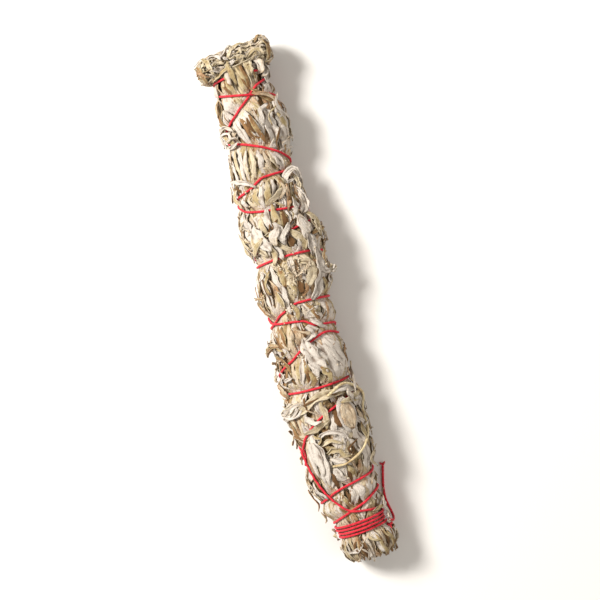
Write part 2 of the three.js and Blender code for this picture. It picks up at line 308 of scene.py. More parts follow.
def blade(along, across):
    """A flat blade of that many squares, and where each of its corners stands in the grid."""
    if (along, across) not in blades:
        bm = leaf_layers(bmesh.new())
        bmesh.ops.create_grid(bm, x_segments=along, y_segments=across, size=1)
        for face in bm.faces:
            face.smooth = True
        mesh = bpy.data.meshes.new("blade")
        bm.to_mesh(mesh)
        bm.free()
        flat = np.empty(len(mesh.vertices) * 3)
        mesh.vertices.foreach_get("co", flat)
        corner = np.empty(len(mesh.loops), int)
        mesh.loops.foreach_get("vertex_index", corner)
        i = np.rint((flat[0::3] + 1) / 2 * along).astype(int)
        j = np.rint((flat[1::3] + 1) / 2 * across).astype(int)
        blades[along, across] = mesh, i, j, corner
    return blades[along, across]


def add_blade(name, points, tones, fold_shading, leaf_map, material_index):
    """Adds one shaped blade to the piece of that name."""
    mesh, i, j, corner = blade(points.shape[0] - 1, points.shape[1] - 1)
    mesh.vertices.foreach_set("co", (points[i, j] * MM).ravel())
    mesh.attributes["tone"].data.foreach_set("value", tones[i, j].astype(np.float32))
    mesh.attributes["painted_fold_shade"].data.foreach_set("value", fold_shading[i, j].astype(np.float32))
    mesh.uv_layers["leaf"].data.foreach_set("uv", leaf_map[i, j][corner].ravel())
    mesh.polygons.foreach_set("material_index", np.full(len(mesh.polygons), material_index))
    if name not in pieces:
        pieces[name] = leaf_layers(bmesh.new())
    pieces[name].from_mesh(mesh)


def spline(points, t):
    """A smooth curve through a few points, at shares t of its length."""
    points = np.array(points, float)
    if len(points) == 2:
        return points[0] + (points[1] - points[0]) * t[:, None]
    gaps = np.maximum(np.linalg.norm(np.diff(points, axis=0), axis=1), 1e-6)
    keys = np.concatenate([[0], np.cumsum(gaps)])
    table = np.column_stack([keys * 100 / keys[-1], points])
    return hermite(table, t * 100)


def wander(t, turns, amount):
    """A smooth random wave along t, from a few sines."""
    out = np.zeros_like(t)
    for k in range(1, 4):
        out += np.sin(2 * math.pi * (t * turns * k * rng.uniform(0.6, 1.4) + rng.uniform())) / k
    return out * amount


def smooth_rows(field, times):
    for _ in range(times):
        field[1:-1] = (field[:-2] + 2 * field[1:-1] + field[2:]) / 4
        field[:, 1:-1] = (field[:, :-2] + 2 * field[:, 1:-1] + field[:, 2:]) / 4
    return field


CREASE_CELLS = 64
crease_grid = rng.random((CREASE_CELLS, CREASE_CELLS))


def creases(x, y):
    """Sharp little creases, a millimetre or two apart, at places given in millimetres."""
    total = 0.0
    for cell, share in ((2.3, 0.6), (1.1, 0.4)):
        i, j = x / cell, y / cell
        i0, j0 = np.floor(i).astype(int), np.floor(j).astype(int)
        s, t = i - i0, j - j0
        s, t = s * s * (3 - 2 * s), t * t * (3 - 2 * t)
        corner = [crease_grid[(i0 + di) % CREASE_CELLS, (j0 + dj) % CREASE_CELLS]
                  for di, dj in ((0, 0), (0, 1), (1, 0), (1, 1))]
        value = (corner[0] * (1 - t) + corner[1] * t) * (1 - s) + (corner[2] * (1 - t) + corner[3] * t) * s
        total = total + share * (1 - np.abs(2 * value - 1))
    return total


def shape_blade(length, width, tone, upper, pleats=2, depth=0.8, curl=0.3, lift=(0, 0), crinkle=0.5,
                lobes=0.25, blunt=0.45, coarse=False, twist=0.0, shadow=0.0):
    """One dry leaf, flat on a sheet: how far across, how high, and its tone, painted shade in its folds and
    map.

    width is its half width, tone runs from pale felt (0) through olive (0.5) to brown (1), lift
    raises its two ends, twist tips one edge up and then the other, and shadow adds painted shade to it.
    """
    across = int(np.clip(max(width * 2 / 0.7, pleats * 3.4), 4, 16))
    along = int(np.clip(length / 1.35, 7, 30))
    if coarse:
        across, along = min(across, 7), int(np.clip(length / 3, 6, 16))
    v = np.linspace(0, 1, along + 1)
    u = np.linspace(-1, 1, across + 1)
    uu, vv = np.meshgrid(u, v)
    half = width * np.sin(math.pi * np.clip(v, 0.015, 0.985)) ** blunt
    edges = [
        1 + wander(v, 2.2, lobes * 0.45) - lobes * np.abs(np.sin(v * math.pi * rng.uniform(2, 5)))
        for _ in range(2)
    ]
    reach = np.where(uu < 0, edges[0][:, None], edges[1][:, None]) * half[:, None]
    turn = curl * (1 + wander(v, 1.2, 0.35))[:, None] * np.ones_like(uu)
    turn = np.where(np.abs(turn) < 0.05, 0.05, turn)
    offset = reach * np.sin(turn * uu) / turn
    rise = reach * (1 - np.cos(turn * uu)) / np.abs(turn)
    rise = rise + twist * uu * reach * np.sin(2 * math.pi * vv + rng.uniform(0, 6))
    waves = pleats * (uu * 0.5 + 0.5) + wander(v, 1.1, 0.12)[:, None] + rng.uniform(0, 0.3)
    ridge = np.abs(np.sin(math.pi * waves)) ** 0.75
    strength = (0.75 + wander(v, 1.6, 0.3))[:, None] * (0.45 + 0.55 * np.sin(math.pi * vv) ** 0.5)
    fold = ridge * depth * np.clip(strength, 0.15, 1.6)
    place = rng.uniform(0, 90, 2)
    crease = creases(offset * 1.2 + place[0], vv * length * 0.7 + place[1])
    ripple = np.sin(vv * length * rng.uniform(0.6, 1.1) + uu * rng.uniform(-3, 3) + rng.uniform(0, 6))
    ends = lift[0] * (1 - vv) ** 3 + lift[1] * vv ** 3
    height = 0.22 + fold + rise + ends + crinkle * ((crease - 0.5) * 1.7 + ripple * 0.35)
    rim = np.abs(uu) ** 5
    tones = tone + wander(v, 1.0, 0.07)[:, None] + rim * (-0.35 if upper else 0.12)
    tones = np.clip(tones + 0.25 * np.abs(2 * vv - 1) ** 9, 0, 1)
    # Painted shade: darkest deep in the pleats and creases, and darker still where shadow is raised.
    fold_shading = np.clip(1 - ridge * (0.7 + 0.2 * ripple) - (crease - 0.5) * 0.7 + shadow, 0, 1)
    leaf_map = np.stack([uu * width * 0.1, vv * length * 0.1 + rng.uniform(0, 50)], -1)
    return v, offset, height, tones, fold_shading, leaf_map


def lay_leaf(form, name, route, width, tone=0.3, upper=False, over=False, stiff=3, top=None, **kind):
    """Lays one dry leaf along a route of (along, degrees) on a form.

    over lays it above the thread, all of it or what lies beyond that place along, and top is the
    most that it may stand off the form.
    """
    route = np.array(route, float)
    arc = route.copy()
    arc[:, 1] = np.radians(route[:, 1]) * MEAN_RADIUS
    length = np.linalg.norm(np.diff(arc, axis=0), axis=1).sum()
    v, offset, height, tones, fold_shading, leaf_map = shape_blade(length, width, tone, upper, **kind)
    middle = spline(arc, v)
    heading = np.gradient(middle, axis=0)
    heading /= np.maximum(np.linalg.norm(heading, axis=1), 1e-9)[:, None]
    side = np.column_stack([-heading[:, 1], heading[:, 0]])
    middle = middle + side * wander(v, 0.8, min(width * 0.16, length * 0.02))[:, None]
    a = middle[:, 0][:, None] + side[:, 0][:, None] * offset
    b = np.degrees((middle[:, 1][:, None] + side[:, 1][:, None] * offset) / MEAN_RADIUS)
    a = np.clip(a, form.low, form.high)
    height = height + smooth_rows(form.sample(form.relief, a, b), stiff)
    room = form.sample(form.limit, a, b)
    if over:
        above = True if over is True else a > over
        room = np.where(above, OVER_ROOM if top is None else top, room)
    elif top is not None:
        room = np.minimum(room, top)
    squeeze = np.maximum(height - (room - PRESS), 0)
    height = np.where(squeeze > 0, (room - PRESS) + PRESS * (1 - np.exp(-squeeze / PRESS)), height)
    add_blade(name, form.place(a, b, height), tones, fold_shading, leaf_map, 1 if upper else 0)
    along, across = height.shape[0] - 1, height.shape[1] - 1
    fi = np.linspace(0, along, along * 4 + 1)
    fj = np.linspace(0, across, across * 3 + 1)
    form.stamp(*[refine(field, fi, fj) for field in (a, b, height + 0.12)])


def loose_leaf(name, points, width, tone=0.2, upper=False, roll=0, **kind):
    """A leaf that stands clear of the bundle, along points in space, rolled about its own line."""
    points = np.array(points, float) + (CENTRING, 0, 0)
    length = np.linalg.norm(np.diff(points, axis=0), axis=1).sum()
    v, offset, height, tones, fold_shading, leaf_map = shape_blade(length, width, tone, upper, **kind)
    line = spline(points, v)
    heading = np.gradient(line, axis=0)
    heading /= np.linalg.norm(heading, axis=1)[:, None]
    side = np.cross(heading, (0, 0, 1.0))
    side /= np.linalg.norm(side, axis=1)[:, None]
    upward = np.cross(side, heading)
    turn = math.radians(roll)
    side, upward = (side * math.cos(turn) + upward * math.sin(turn),
                    upward * math.cos(turn) - side * math.sin(turn))
    p = line[:, None] + side[:, None] * offset[..., None] + upward[:, None] * height[..., None]
    p[..., 2] = above_surface(p[..., 2])
    add_blade(name, p, tones, fold_shading, leaf_map, 1 if upper else 0)


def refine(field, fi, fj):
    i = np.minimum(fi.astype(int), field.shape[0] - 2)
    j = np.minimum(fj.astype(int), field.shape[1] - 2)
    s, t = (fi - i)[:, None], (fj - j)[None, :]
    low = field[i][:, j] * (1 - t) + field[i][:, j + 1] * t
    high = field[i + 1][:, j] * (1 - t) + field[i + 1][:, j + 1] * t
    return low * (1 - s) + high * s


def sprig_at(y, degrees):
    """The sprig that a place on the bundle belongs to."""
    turn = math.radians(degrees) - TWIST * y
    column = int(round(turn / (2 * math.pi / COLUMNS))) % COLUMNS
    shift = 14 if column % 2 else -7
    row = sum(y > start + shift for start in ROW_STARTS)
    return f"leafy_sprig_{row * COLUMNS + column + 1:02d}"


def on_bundle(route, width, **kind):
    middle = route[len(route) // 2]
    return lay_leaf(bundle, sprig_at(middle[0], middle[1]), route, width, **kind)


def degrees_at(x, y):
    """The place round the bundle that lies under x, seen from above."""
    row = hermite(STATIONS, np.array([float(y)]))[0]
    share = np.clip((x - row[0]) / (row[1] + 1.0), -0.985, 0.985)
    return math.degrees(math.acos(share))


def plan(points, width, **kind):
    """A leaf laid along points given from above."""
    return on_bundle([(y, degrees_at(x, y)) for x, y in points], width, **kind)


def lay_leaves(rows, lay=plan):
    """Lays a table of leaves.

    A row holds x and y by turns along the leaf, from above, then its half width, its tone, the side
    that shows, its pleats, their depth and its curl, and last whatever else sets it apart.
    """
    for route, width, tone, side, pleats, depth, curl, *rest in rows:
        lay(np.reshape(route, (-1, 2)), width, tone=tone, upper=side, pleats=pleats, depth=depth,
            curl=curl, **dict(*rest))


def shade_slivers(rows):
    """Deep brown slivers laid low between the leaves that paint the shade in the gaps: x and y by turns
    along each, and its half width.
    """
    for route, width in rows:
        plan(np.reshape(route, (-1, 2)), width, tone=1.0, upper=True, pleats=1, depth=0.15, curl=0.2,
             shadow=0.8)


def scattered(count, low, high, length, width, slant, around=(0, 360), **kind):
    """Leaves strewn round the bundle, each a little different."""
    for _ in range(count):
        y = rng.uniform(low, high)
        degrees = rng.uniform(*around)
        half = rng.uniform(*length) / 2
        lean = math.radians(rng.normal(0, slant))
        bow = rng.normal(0, 2.0)
        da, db = half * math.cos(lean), math.degrees(half * math.sin(lean) / MEAN_RADIUS)
        route = [
            (y - da, degrees - db),
            (y, degrees + math.degrees(bow / MEAN_RADIUS)),
            (y + da, degrees + db),
        ]
        route = [(min(max(p[0], -117.5), 108.0), p[1]) for p in route]
        chosen = {k: (f() if callable(f) else f) for k, f in kind.items()}
        on_bundle(route, rng.uniform(*width), **chosen)


def between(low, high):
    return lambda: rng.uniform(low, high)


def chance(share):
    return lambda: rng.uniform() < share


scattered(130, -114, 106, (34, 60), (4.0, 6.0), 8, tone=between(0.55, 1.0), upper=chance(0.8),
          pleats=between(2, 4), depth=0.8, top=-0.4, coarse=True)
scattered(150, -115, 106, (24, 48), (2.4, 4.2), 11, tone=between(0.1, 0.9), upper=chance(0.55),
          pleats=between(2.5, 5), depth=between(0.8, 1.4), top=1.0)
scattered(260, -115, 105, (12, 40), (1.1, 3.2), 16, tone=between(0.0, 0.75), upper=chance(0.35),
          pleats=between(1, 3.5), depth=between(0.7, 1.4), curl=between(0.3, 1.5), top=2.2,
          lobes=between(0.15, 0.5), lift=lambda: (rng.uniform(0, 1.4), rng.uniform(0, 1.4)),
          twist=between(0, 0.4))

for y, degrees, height in zip(thread_y, thread_turned, thread_height):
    spread = np.radians(np.arange(-7, 8, 1.5))
    for shift in (-0.5, 0, 0.5):
        bundle.stamp(np.full(spread.shape, y + shift), degrees + np.degrees(spread * 0.5),
                     np.full(spread.shape, height + THREAD_RADIUS))

# ---- leaves that can be told apart, each along points given from above --------------------------
lay_leaves((
    # The neck: strips that come down from under the tip, over the topmost turn of the thread.
    ((-16.8, 99.5, -15.9, 92.7, -14.4, 83.1), 1.7, 0.75, OLIVE, 3, 1.0, 0.3),
    ((-14, 97.8, -13.3, 90.2, -12, 83.3), 1.2, 0.95, OLIVE, 2, 0.8, 0.3),
    ((-14.8, 101.7, -14.5, 96.1, -14, 89.4), 1.3, 0.5, FELT, 2, 0.8, 0.3),
    ((-11.1, 103.4, -11.3, 99.3, -11.7, 94.4), 1.6, 0.1, FELT, 2, 0.8, 0.3, dict(over=True)),
    ((-10.1, 98.5, -7.2, 92.2, -4.8, 84.1), 2.6, 0.12, FELT, 2.5, 0.8, 0.3),
    ((-7, 111.6, -4.5, 98.8, -1.6, 90.7), 1.6, 0.6, OLIVE, 1.5, 0.9, 0.9, dict(over=TOP_TURN)),
    ((-8.5, 109.2, -6.3, 97, -4.4, 92.3), 1.1, 0.95, OLIVE, 1, 0.8, 0.3),
    ((-1.8, 112, 0.1, 100.4, 1.8, 94.8), 2.0, 0.42, OLIVE, 2, 0.8, 0.3, dict(over=TOP_TURN)),
    ((0.4, 111.4, 2.5, 100.6, 3, 95.8), 1.2, 0.9, OLIVE, 1, 0.8, 0.3, dict(over=TOP_TURN)),
    ((3.6, 111.4, 4.7, 101.9, 4.6, 96.4), 2.0, 0.3, OLIVE, 2.5, 0.8, 0.3, dict(over=TOP_TURN)),
    ((5.8, 110.8, 5.9, 99.7, 5.9, 96), 1.1, 0.8, OLIVE, 1, 0.8, 0.3, dict(over=TOP_TURN)),
    ((9.1, 112.7, 9.9, 104.1, 10, 97.6), 2.2, 0.02, FELT, 2, 0.8, 0.3, dict(over=True)),
    ((9.9, 110.6, 10.2, 105, 8.7, 101.2), 1.9, 0.05, FELT, 1.5, 0.7, 0.7, dict(over=True)),
    ((9.2, 99.7, 11.4, 90.8, 12.2, 80.4), 3.4, 0.02, FELT, 2, 0.7, 0.5),
    ((-4.3, 112.7, -4.5, 107.2, -4, 100.6), 1.5, 0.3, FELT, 1, 0.9, 0.8, dict(over=TOP_TURN)),
    ((-2.2, 110.3, -5.8, 107.5, -10.7, 104.7), 1.3, 0.62, OLIVE, 1, 0.8, 1.2,
     dict(lift=(0.4, 0.6), over=True)),
    # Between the topmost crossing and the next turn: long smooth leaves that slant to the right.
    ((2.7, 97.8, 6.9, 92.9, 11.8, 87.4), 1.3, 0.85, OLIVE, 1, 0.6, 0.3, dict(over=True)),
    ((2.8, 95, 8.5, 92, 11.7, 85.1), 1.4, 0.7, FELT, 1.5, 0.8, 1.0, dict(over=True)),
    ((-1.9, 93, 2.1, 95.7, 5.9, 97.8), 1.1, 0.02, FELT, 1, 0.8, 0.8),
    ((-5.3, 92.6, -2, 84.3, 1.2, 72.3), 2.6, 0.05, FELT, 2, 0.8, 0.3),
    ((1.2, 92.6, 3.4, 85.6, 4.2, 79.8), 1.7, 0.5, OLIVE, 1.5, 0.8, 0.8),
    ((-5, 87, -2.4, 79.3, -0.5, 72.8), 1.2, 1.0, OLIVE, 1, 0.8, 0.3),
    ((-9.4, 91, -7, 82.9, -3.4, 72.6), 2.3, 0.04, FELT, 2, 0.7, 0.3),
    ((-0.7, 85.8, 1.1, 78.8, 2.9, 71.8), 1.2, 0.9, OLIVE, 1, 0.6, 0.3),
    ((5.4, 87.8, 7, 80, 6.7, 68.9), 3.2, 0.0, FELT, 1.5, 0.8, 0.8),
    ((9.6, 89.4, 11.3, 80.6, 11.1, 69.6), 2.4, 0.06, FELT, 2, 0.6, 0.3),
    ((7.6, 89, 3.7, 86.4, 4.2, 79.8), 1.6, 0.0, FELT, 1, 0.8, 1.4, dict(lift=(0.8, 0.4))),
    ((9.9, 83.8, 11.5, 79.6, 10.8, 75.2), 1.5, 0.62, OLIVE, 1, 0.8, 0.3),
    ((10.2, 78.2, 10.6, 69.7, 9.4, 63.6), 2.8, 0.05, FELT, 2, 0.7, 0.3),
    ((10.2, 69.8, 10.3, 65.2, 9.6, 60.7), 1.2, 0.85, OLIVE, 1, 0.8, 0.3),
    # The curled pale rosette at the left.
    ((-13.3, 83.7, -11.3, 79, -9.1, 75.1), 1.7, 0.5, OLIVE, 1, 0.8, 1.0, dict(over=True)),
    ((-16.2, 78, -14.6, 82.2, -10.9, 84, -7.5, 81.2), 1.6, 0.02, FELT, 1, 0.8, 1.8,
     dict(over=True, lift=(0.6, 0.8))),
    ((-15.5, 80.6, -14.3, 76.6, -10.7, 74.6, -7.5, 76.1), 1.6, 0.0, FELT, 1, 0.8, 1.8,
     dict(over=True, lift=(0.9, 0.6))),
    ((-13.5, 81, -10.3, 81, -8.9, 77.8), 1.0, 0.05, FELT, 1, 0.8, 1.4, dict(over=True, lift=(0.6, 1.2))),
    ((-13.7, 75.5, -10.7, 77.9, -7.4, 77.9), 0.9, 0.1, FELT, 1, 0.8, 1.4, dict(over=True, lift=(0.6, 1.0))),
    # A fan of narrow pleats.
    ((-14.1, 75.6, -14.3, 68.2, -13.4, 59.7), 1.2, 0.3, FELT, 1, 1.1, 0.5),
    ((-12.6, 74.3, -11.9, 66.7, -11.5, 58.2), 1.3, 0.05, FELT, 1, 1.1, 0.5),
    ((-10.2, 74.5, -10.2, 66.2, -10.4, 57), 1.1, 0.35, OLIVE, 1, 1.1, 0.5),
    ((-8.2, 73.5, -8.5, 65.7, -8.9, 57.5), 1.2, 0.02, FELT, 1, 1.1, 0.5),
    ((-6.1, 72.9, -6.7, 65.7, -8, 57.3), 1.0, 0.3, FELT, 1, 1.1, 0.5),
    ((-4, 71.9, -4.1, 65, -5.1, 57.8), 1.3, 0.05, OLIVE, 1, 1.1, 0.5),
    ((-1.6, 70.7, -1.1, 64.1, -0.9, 58.1), 1.5, 0.1, FELT, 1, 1.1, 0.5),
    ((0.9, 69.6, 1.6, 63.9, 2.6, 59), 1.1, 0.55, FELT, 1, 1.1, 0.5),
    ((3.1, 69, 4.4, 64, 6.1, 59.9), 1.6, 0.1, OLIVE, 1, 1.1, 0.5),
    ((4.1, 69.6, 6.8, 64.3, 8.2, 59.3), 3.0, 0.05, FELT, 2, 0.6, 0.3),
    # The left flank below it, with a dark hollow.
    ((-15.5, 63.9, -15.2, 56.5, -18.4, 49.9), 2.0, 0.05, FELT, 1.5, 0.9, 1.0, dict(lift=(0.8, 0.8))),
    ((-13.6, 60.6, -9.8, 57.7, -5.6, 54.3), 1.2, 0.02, FELT, 1, 0.8, 0.9, dict(over=True, lift=(0.2, 0.8))),
    ((-14.1, 57.1, -13.6, 50.5, -14.7, 41.5), 1.3, 0.95, OLIVE, 1, 0.7, 0.3),
    ((-18.1, 54.5, -18.6, 49.1, -19.4, 44.7), 1.2, 0.02, FELT, 1, 0.8, 1.2, dict(lift=(0.3, 1.0))),
    ((-20.2, 58.3, -17.8, 57.2, -16, 53.5), 1.0, 0.85, OLIVE, 1, 0.8, 0.8, dict(lift=(1.4, 0))),
    ((-12.9, 53.1, -12.6, 49.3, -11.3, 47.1), 1.8, 0.02, FELT, 1, 0.8, 1.1),
    # The yellow-green scoop of pleats and the rolled arch at its right.
    ((-5.5, 56.6, -6.9, 51.4, -6.4, 44.8), 1.5, 0.45, OLIVE, 1.5, 1.2, 0.3),
    ((-3.1, 56.8, -4.7, 50.8, -4.9, 43.5), 1.3, 0.15, FELT, 1, 1.2, 0.3),
    ((-0.8, 56.7, -1.9, 51, -2.7, 44.7), 1.4, 0.5, OLIVE, 1, 1.2, 0.3),
    ((1.5, 56.5, 1.1, 52, -0.1, 47.7), 1.2, 0.1, FELT, 1, 1.0, 0.3),
    ((4.1, 57.6, 4.2, 53, 3.4, 48.6), 1.2, 0.75, OLIVE, 1, 1.0, 0.3),
    ((6.8, 52.3, 1.6, 48.6, -4.3, 45.6), 1.9, 0.28, OLIVE, 1, 0.6, 1.0, dict(lift=(0.6, 0.3))),
    ((5.5, 52.6, 5.5, 46.1, 4.4, 40.4), 1.0, 0.85, FELT, 1, 0.8, 1.0, dict(over=True)),
    ((4.2, 54.8, 4.3, 50.2, 2.3, 46.1), 1.0, 0.6, FELT, 1, 0.8, 1.0),
    # The middle: a broad pale leaf, then pleats over the thread.
    ((-13.8, 45, -13.7, 36.6, -10.9, 26.6), 3.4, 0.03, FELT, 1.5, 0.6, 0.6, dict(over=True)),
    ((-6.9, 43.1, -7.4, 37.7, -6, 32.7), 1.3, 0.35, OLIVE, 1, 1.1, 0.3),
    ((-4.7, 44.3, -4.6, 37.8, -3.7, 32.9), 1.3, 0.05, FELT, 1, 1.1, 0.3, dict(over=True)),
    ((-1.6, 45.3, -1.1, 38.7, -1.5, 32.3), 1.3, 0.55, OLIVE, 1, 1.1, 0.3, dict(over=True)),
    ((2.2, 44.3, 1.9, 37.9, 0.3, 32.3), 1.6, 0.7, OLIVE, 1, 0.8, 0.3),
    ((-8, 32.3, -4.2, 32.6, -0.3, 30.1), 1.3, 0.6, OLIVE, 1, 0.8, 0.8, dict(over=True)),
    ((-12.1, 34.3, -11.3, 28.6, -8.5, 23.6), 2.0, 0.25, OLIVE, 1.5, 0.7, 0.3, dict(over=True)),
    ((-9.7, 32.7, -5.5, 27.9, -2.9, 20.7), 1.8, 0.1, FELT, 1.5, 0.8, 0.3, dict(over=True)),
    ((-5.5, 27.9, -5.4, 23.2, -7, 19), 1.4, 0.4, OLIVE, 1, 0.8, 1.0, dict(over=True)),
    ((-0.5, 34.4, 0.5, 31.3, 0.9, 27.5), 1.2, 0.02, FELT, 1, 0.8, 1.0, dict(lift=(0.6, 0.4))),
    # The left edge beside it: a white lump and brown curls.
    ((-19.3, 40, -19.2, 33.5, -16.3, 27.2), 2.0, 0.02, FELT, 1, 0.8, 1.0, dict(lift=(0.6, 0.3))),
    ((-17.3, 42.2, -16.2, 37.8, -18.6, 34.3), 1.2, 0.9, OLIVE, 1, 0.8, 1.4, dict(lift=(0.5, 0.9))),
    ((-17.1, 32.9, -15.2, 29.6, -15.4, 25.5), 1.0, 0.95, OLIVE, 1, 0.8, 1.2),
    ((-19.5, 29, -17.5, 24.7, -17.2, 19.1), 1.2, 0.4, FELT, 1, 0.8, 1.0),
    # The bulge at the right.
    ((2.7, 32.6, 6.2, 28.4, 6.9, 22.6), 2.2, 0.3, OLIVE, 1.5, 0.8, 0.9, dict(over=True)),
    ((6.8, 35.6, 11, 28.9, 12.7, 20.1), 2.5, 0.12, FELT, 2, 0.9, 0.3, dict(over=True, lift=(0.8, 0.2))),
    ((7.3, 30.8, 9.4, 24.7, 10.1, 19), 1.8, 0.02, FELT, 1.5, 0.9, 1.0, dict(over=True)),
    ((11.1, 34.4, 13.5, 26.4, 13.3, 17.2), 1.6, 0.35, OLIVE, 1.5, 0.8, 0.3, dict(lift=(1.0, 0))),
    ((10.3, 28.2, 14, 29.9, 16.8, 30.1), 1.5, 0.75, OLIVE, 1, 0.8, 1.0, dict(lift=(0, 1.8), over=True)),
    ((1.7, 27.3, 3.5, 23.6, 3.4, 19.9), 1.7, 0.0, FELT, 1, 0.6, 1.2),
    ((5.1, 27.7, 5.4, 23.9, 3.6, 20.7), 1.3, 0.0, FELT, 1, 0.8, 1.2, dict(lift=(0.8, 0.3))),
    ((6.1, 41.4, 6.8, 38.8, 5.2, 36.5), 1.2, 0.02, FELT, 1, 0.8, 1.0, dict(over=True, lift=(0.5, 0.5))),
    ((3.4, 18, 6.6, 16.2, 6.2, 9.9, 2.2, 5.4), 2.8, 0.2, OLIVE, 2, 0.8, 0.9),
    ((10.4, 21.7, 11.2, 13.1, 8.2, 5.6, 4, 0.3), 3.0, 0.03, FELT, 2, 0.8, 0.6, dict(over=True)),
    ((14, 17.9, 13.3, 10.7, 11.6, 2.8), 1.5, 0.05, FELT, 1, 0.8, 0.8),
    ((10.1, 8.8, 10.6, 4, 8.5, -0), 1.4, 0.65, OLIVE, 1, 0.8, 0.8),
    ((2.9, 8, 3, 5.2, 0.6, 3.1), 0.9, 0.95, FELT, 1, 0.8, 0.8, dict(over=True)),
    # Strips along the middle and the left, down to the next two turns.
    ((-18.2, 20.3, -18, 11, -16.2, -2.5), 1.1, 0.95, OLIVE, 1, 0.9, 0.3),
    ((-15.8, 20.6, -16.3, 10.5, -15.9, -1.6), 1.5, 0.1, FELT, 1.5, 0.9, 0.3),
    ((-12.8, 19.7, -12.7, 8.6, -13.2, -3.3), 2.2, 0.12, FELT, 1.5, 0.5, 0.4),
    ((-15.5, 16.8, -15.1, 6.5, -14.7, -2), 1.1, 0.9, OLIVE, 1, 0.8, 0.3),
    ((-8.7, 19.5, -7.7, 10, -7.8, 2.6), 1.6, 0.05, FELT, 1.5, 0.8, 0.3),
    ((-5.5, 17.7, -4.6, 12.8, -4.9, 8.3), 1.5, 0.7, OLIVE, 1, 0.8, 0.3),
    ((-2.1, 16.8, -1.8, 9.3, -2.2, 2.9), 1.5, 0.35, OLIVE, 1, 0.8, 0.3),
    ((-5.9, 9.5, -5.9, 3, -5.8, -3.5), 1.4, 0.05, FELT, 1, 0.8, 1.0, dict(crinkle=0.7, over=True)),
    ((-8.8, 7.5, -7.6, 3.5, -7.9, -1.1), 1.5, 0.55, OLIVE, 1, 0.8, 1.0, dict(crinkle=0.7, over=True)),
    ((-4.6, 0.8, -3, -3.3, -3.5, -6.9), 1.3, 0.6, OLIVE, 1, 0.8, 1.0, dict(over=True)),
    ((-1, 0.7, 2.4, -5.7, 8.1, -10.1), 2.6, 0.15, FELT, 2, 0.7, 0.6),
    ((0.6, 1.2, 2.8, -4, 5.2, -8.8), 1.1, 0.9, OLIVE, 1, 0.7, 0.3),
    ((5.5, 0.8, 8.9, -3.8, 9.8, -10.6), 2.4, 0.04, FELT, 1.5, 0.7, 0.3),
    ((1.4, -7.3, 3.7, -10.7, 7, -12.6), 1.4, 0.04, FELT, 1, 0.8, 0.7, dict(over=True)),
    # The big felted leaf at the right, and what lies at its left.
    ((-10.2, -6, -9.5, -13.6, -8.6, -20.3), 2.2, 0.75, OLIVE, 1.5, 1.0, 0.5),
    ((-8.5, -6.5, -8.9, -16.5, -9, -26.7), 1.7, 0.55, FELT, 1, 0.9, 0.9),
    ((-8.6, -20.3, -9.1, -30.4, -10.8, -40), 1.5, 0.6, OLIVE, 1, 0.9, 0.9),
    ((-15.8, -6.3, -12.6, -14.6, -11.2, -21.4), 1.5, 0.95, OLIVE, 1.5, 0.9, 0.3),
    ((-13.9, -5.9, -11.2, -13.1, -11.4, -18.6), 2.0, 0.85, OLIVE, 1, 0.8, 0.9),
    ((-17.6, -9.5, -16.1, -15.5, -13.9, -21.1), 3.2, 0.0, FELT, 2, 1.0, 0.8, dict(crinkle=0.7)),
    ((-12.2, -16.5, -11.6, -19.5, -12.1, -23), 1.3, 0.1, FELT, 1, 0.8, 1.0),
    ((-1.2, -10.3, 3.3, -19, 5.7, -28.9, 6.6, -37.4), 5.6, 0.02, FELT, 2.5, 0.9, 0.3,
     dict(crinkle=0.7, lobes=0.15)),
    ((-4.4, -15, -2, -23.1, 1.1, -32.2), 3.0, 0.02, FELT, 2, 0.8, 0.4, dict(crinkle=0.7, over=True)),
    ((-2.9, -16.3, -0.7, -15.1, 2.1, -14.9), 1.3, 0.05, FELT, 1, 0.8, 1.0, dict(over=True)),
    ((5.3, -16.7, 7.5, -23.8, 8.9, -32.5), 3.0, 0.04, FELT, 2, 0.7, 0.3, dict(crinkle=0.6)),
    ((-9.9, -36.6, -7.1, -28.1, -3.4, -19.9), 1.5, 0.0, FELT, 1, 0.8, 1.0),
    ((-5.2, -24.9, -5.6, -31.3, -6.2, -36.7), 1.2, 0.85, OLIVE, 1, 0.8, 0.3),
    ((-4.2, -26.1, -2.4, -31.3, -3.8, -36.4), 1.5, 0.02, FELT, 1, 0.8, 1.2),
    ((-4.3, -29.8, -4.2, -34.5, -6.8, -37.4), 1.7, 0.65, OLIVE, 1, 0.8, 1.0),
    ((-0.4, -29, 1.8, -32.9, 2.2, -36.7), 1.9, 0.6, OLIVE, 1, 0.8, 1.3, dict(over=True)),
    ((-21.7, -20.9, -17.8, -20.1, -14.1, -23.4, -12.1, -28.1), 1.2, 0.9, OLIVE, 1, 0.8, 0.9,
     dict(over=True)),
    ((-15.8, -22.9, -14.4, -28, -14.7, -32.5), 1.1, 1.0, OLIVE, 1, 0.8, 0.9),
    ((-16, -27, -15.4, -31.4, -11.4, -30.6), 1.3, 0.0, FELT, 1, 0.8, 1.6, dict(lift=(0.6, 1.0), over=True)),
    ((-17.3, -29.9, -16.8, -36.6, -16.1, -44.1), 1.4, 0.8, OLIVE, 1.5, 0.9, 0.3),
    ((-17.1, -24.4, -17.9, -30.7, -17.7, -38.2), 1.3, 0.7, FELT, 1.5, 0.9, 0.3, dict(crinkle=0.8)),
    ((-14.5, -33.5, -14, -40.1, -13.7, -45.7), 1.4, 0.35, FELT, 1, 0.9, 0.3),
    # Below the ninth turn: a grey-green leaf with a white end, green leaves round a dark gap.
    ((11.7, -40.7, 14.3, -47.9, 13.4, -57.8), 2.2, 0.1, FELT, 1.5, 0.7, 0.8),
    ((7.8, -41.5, -2.4, -41.4, -11.8, -45.3, -16.8, -46.7), 2.4, 0.3, OLIVE, 1.5, 0.8, 0.7,
     dict(over=True)),
    ((0.4, -41.3, 7.2, -40.4, 11.4, -45.2, 12.3, -52), 2.0, 0.05, FELT, 1, 0.8, 1.2, dict(over=True)),
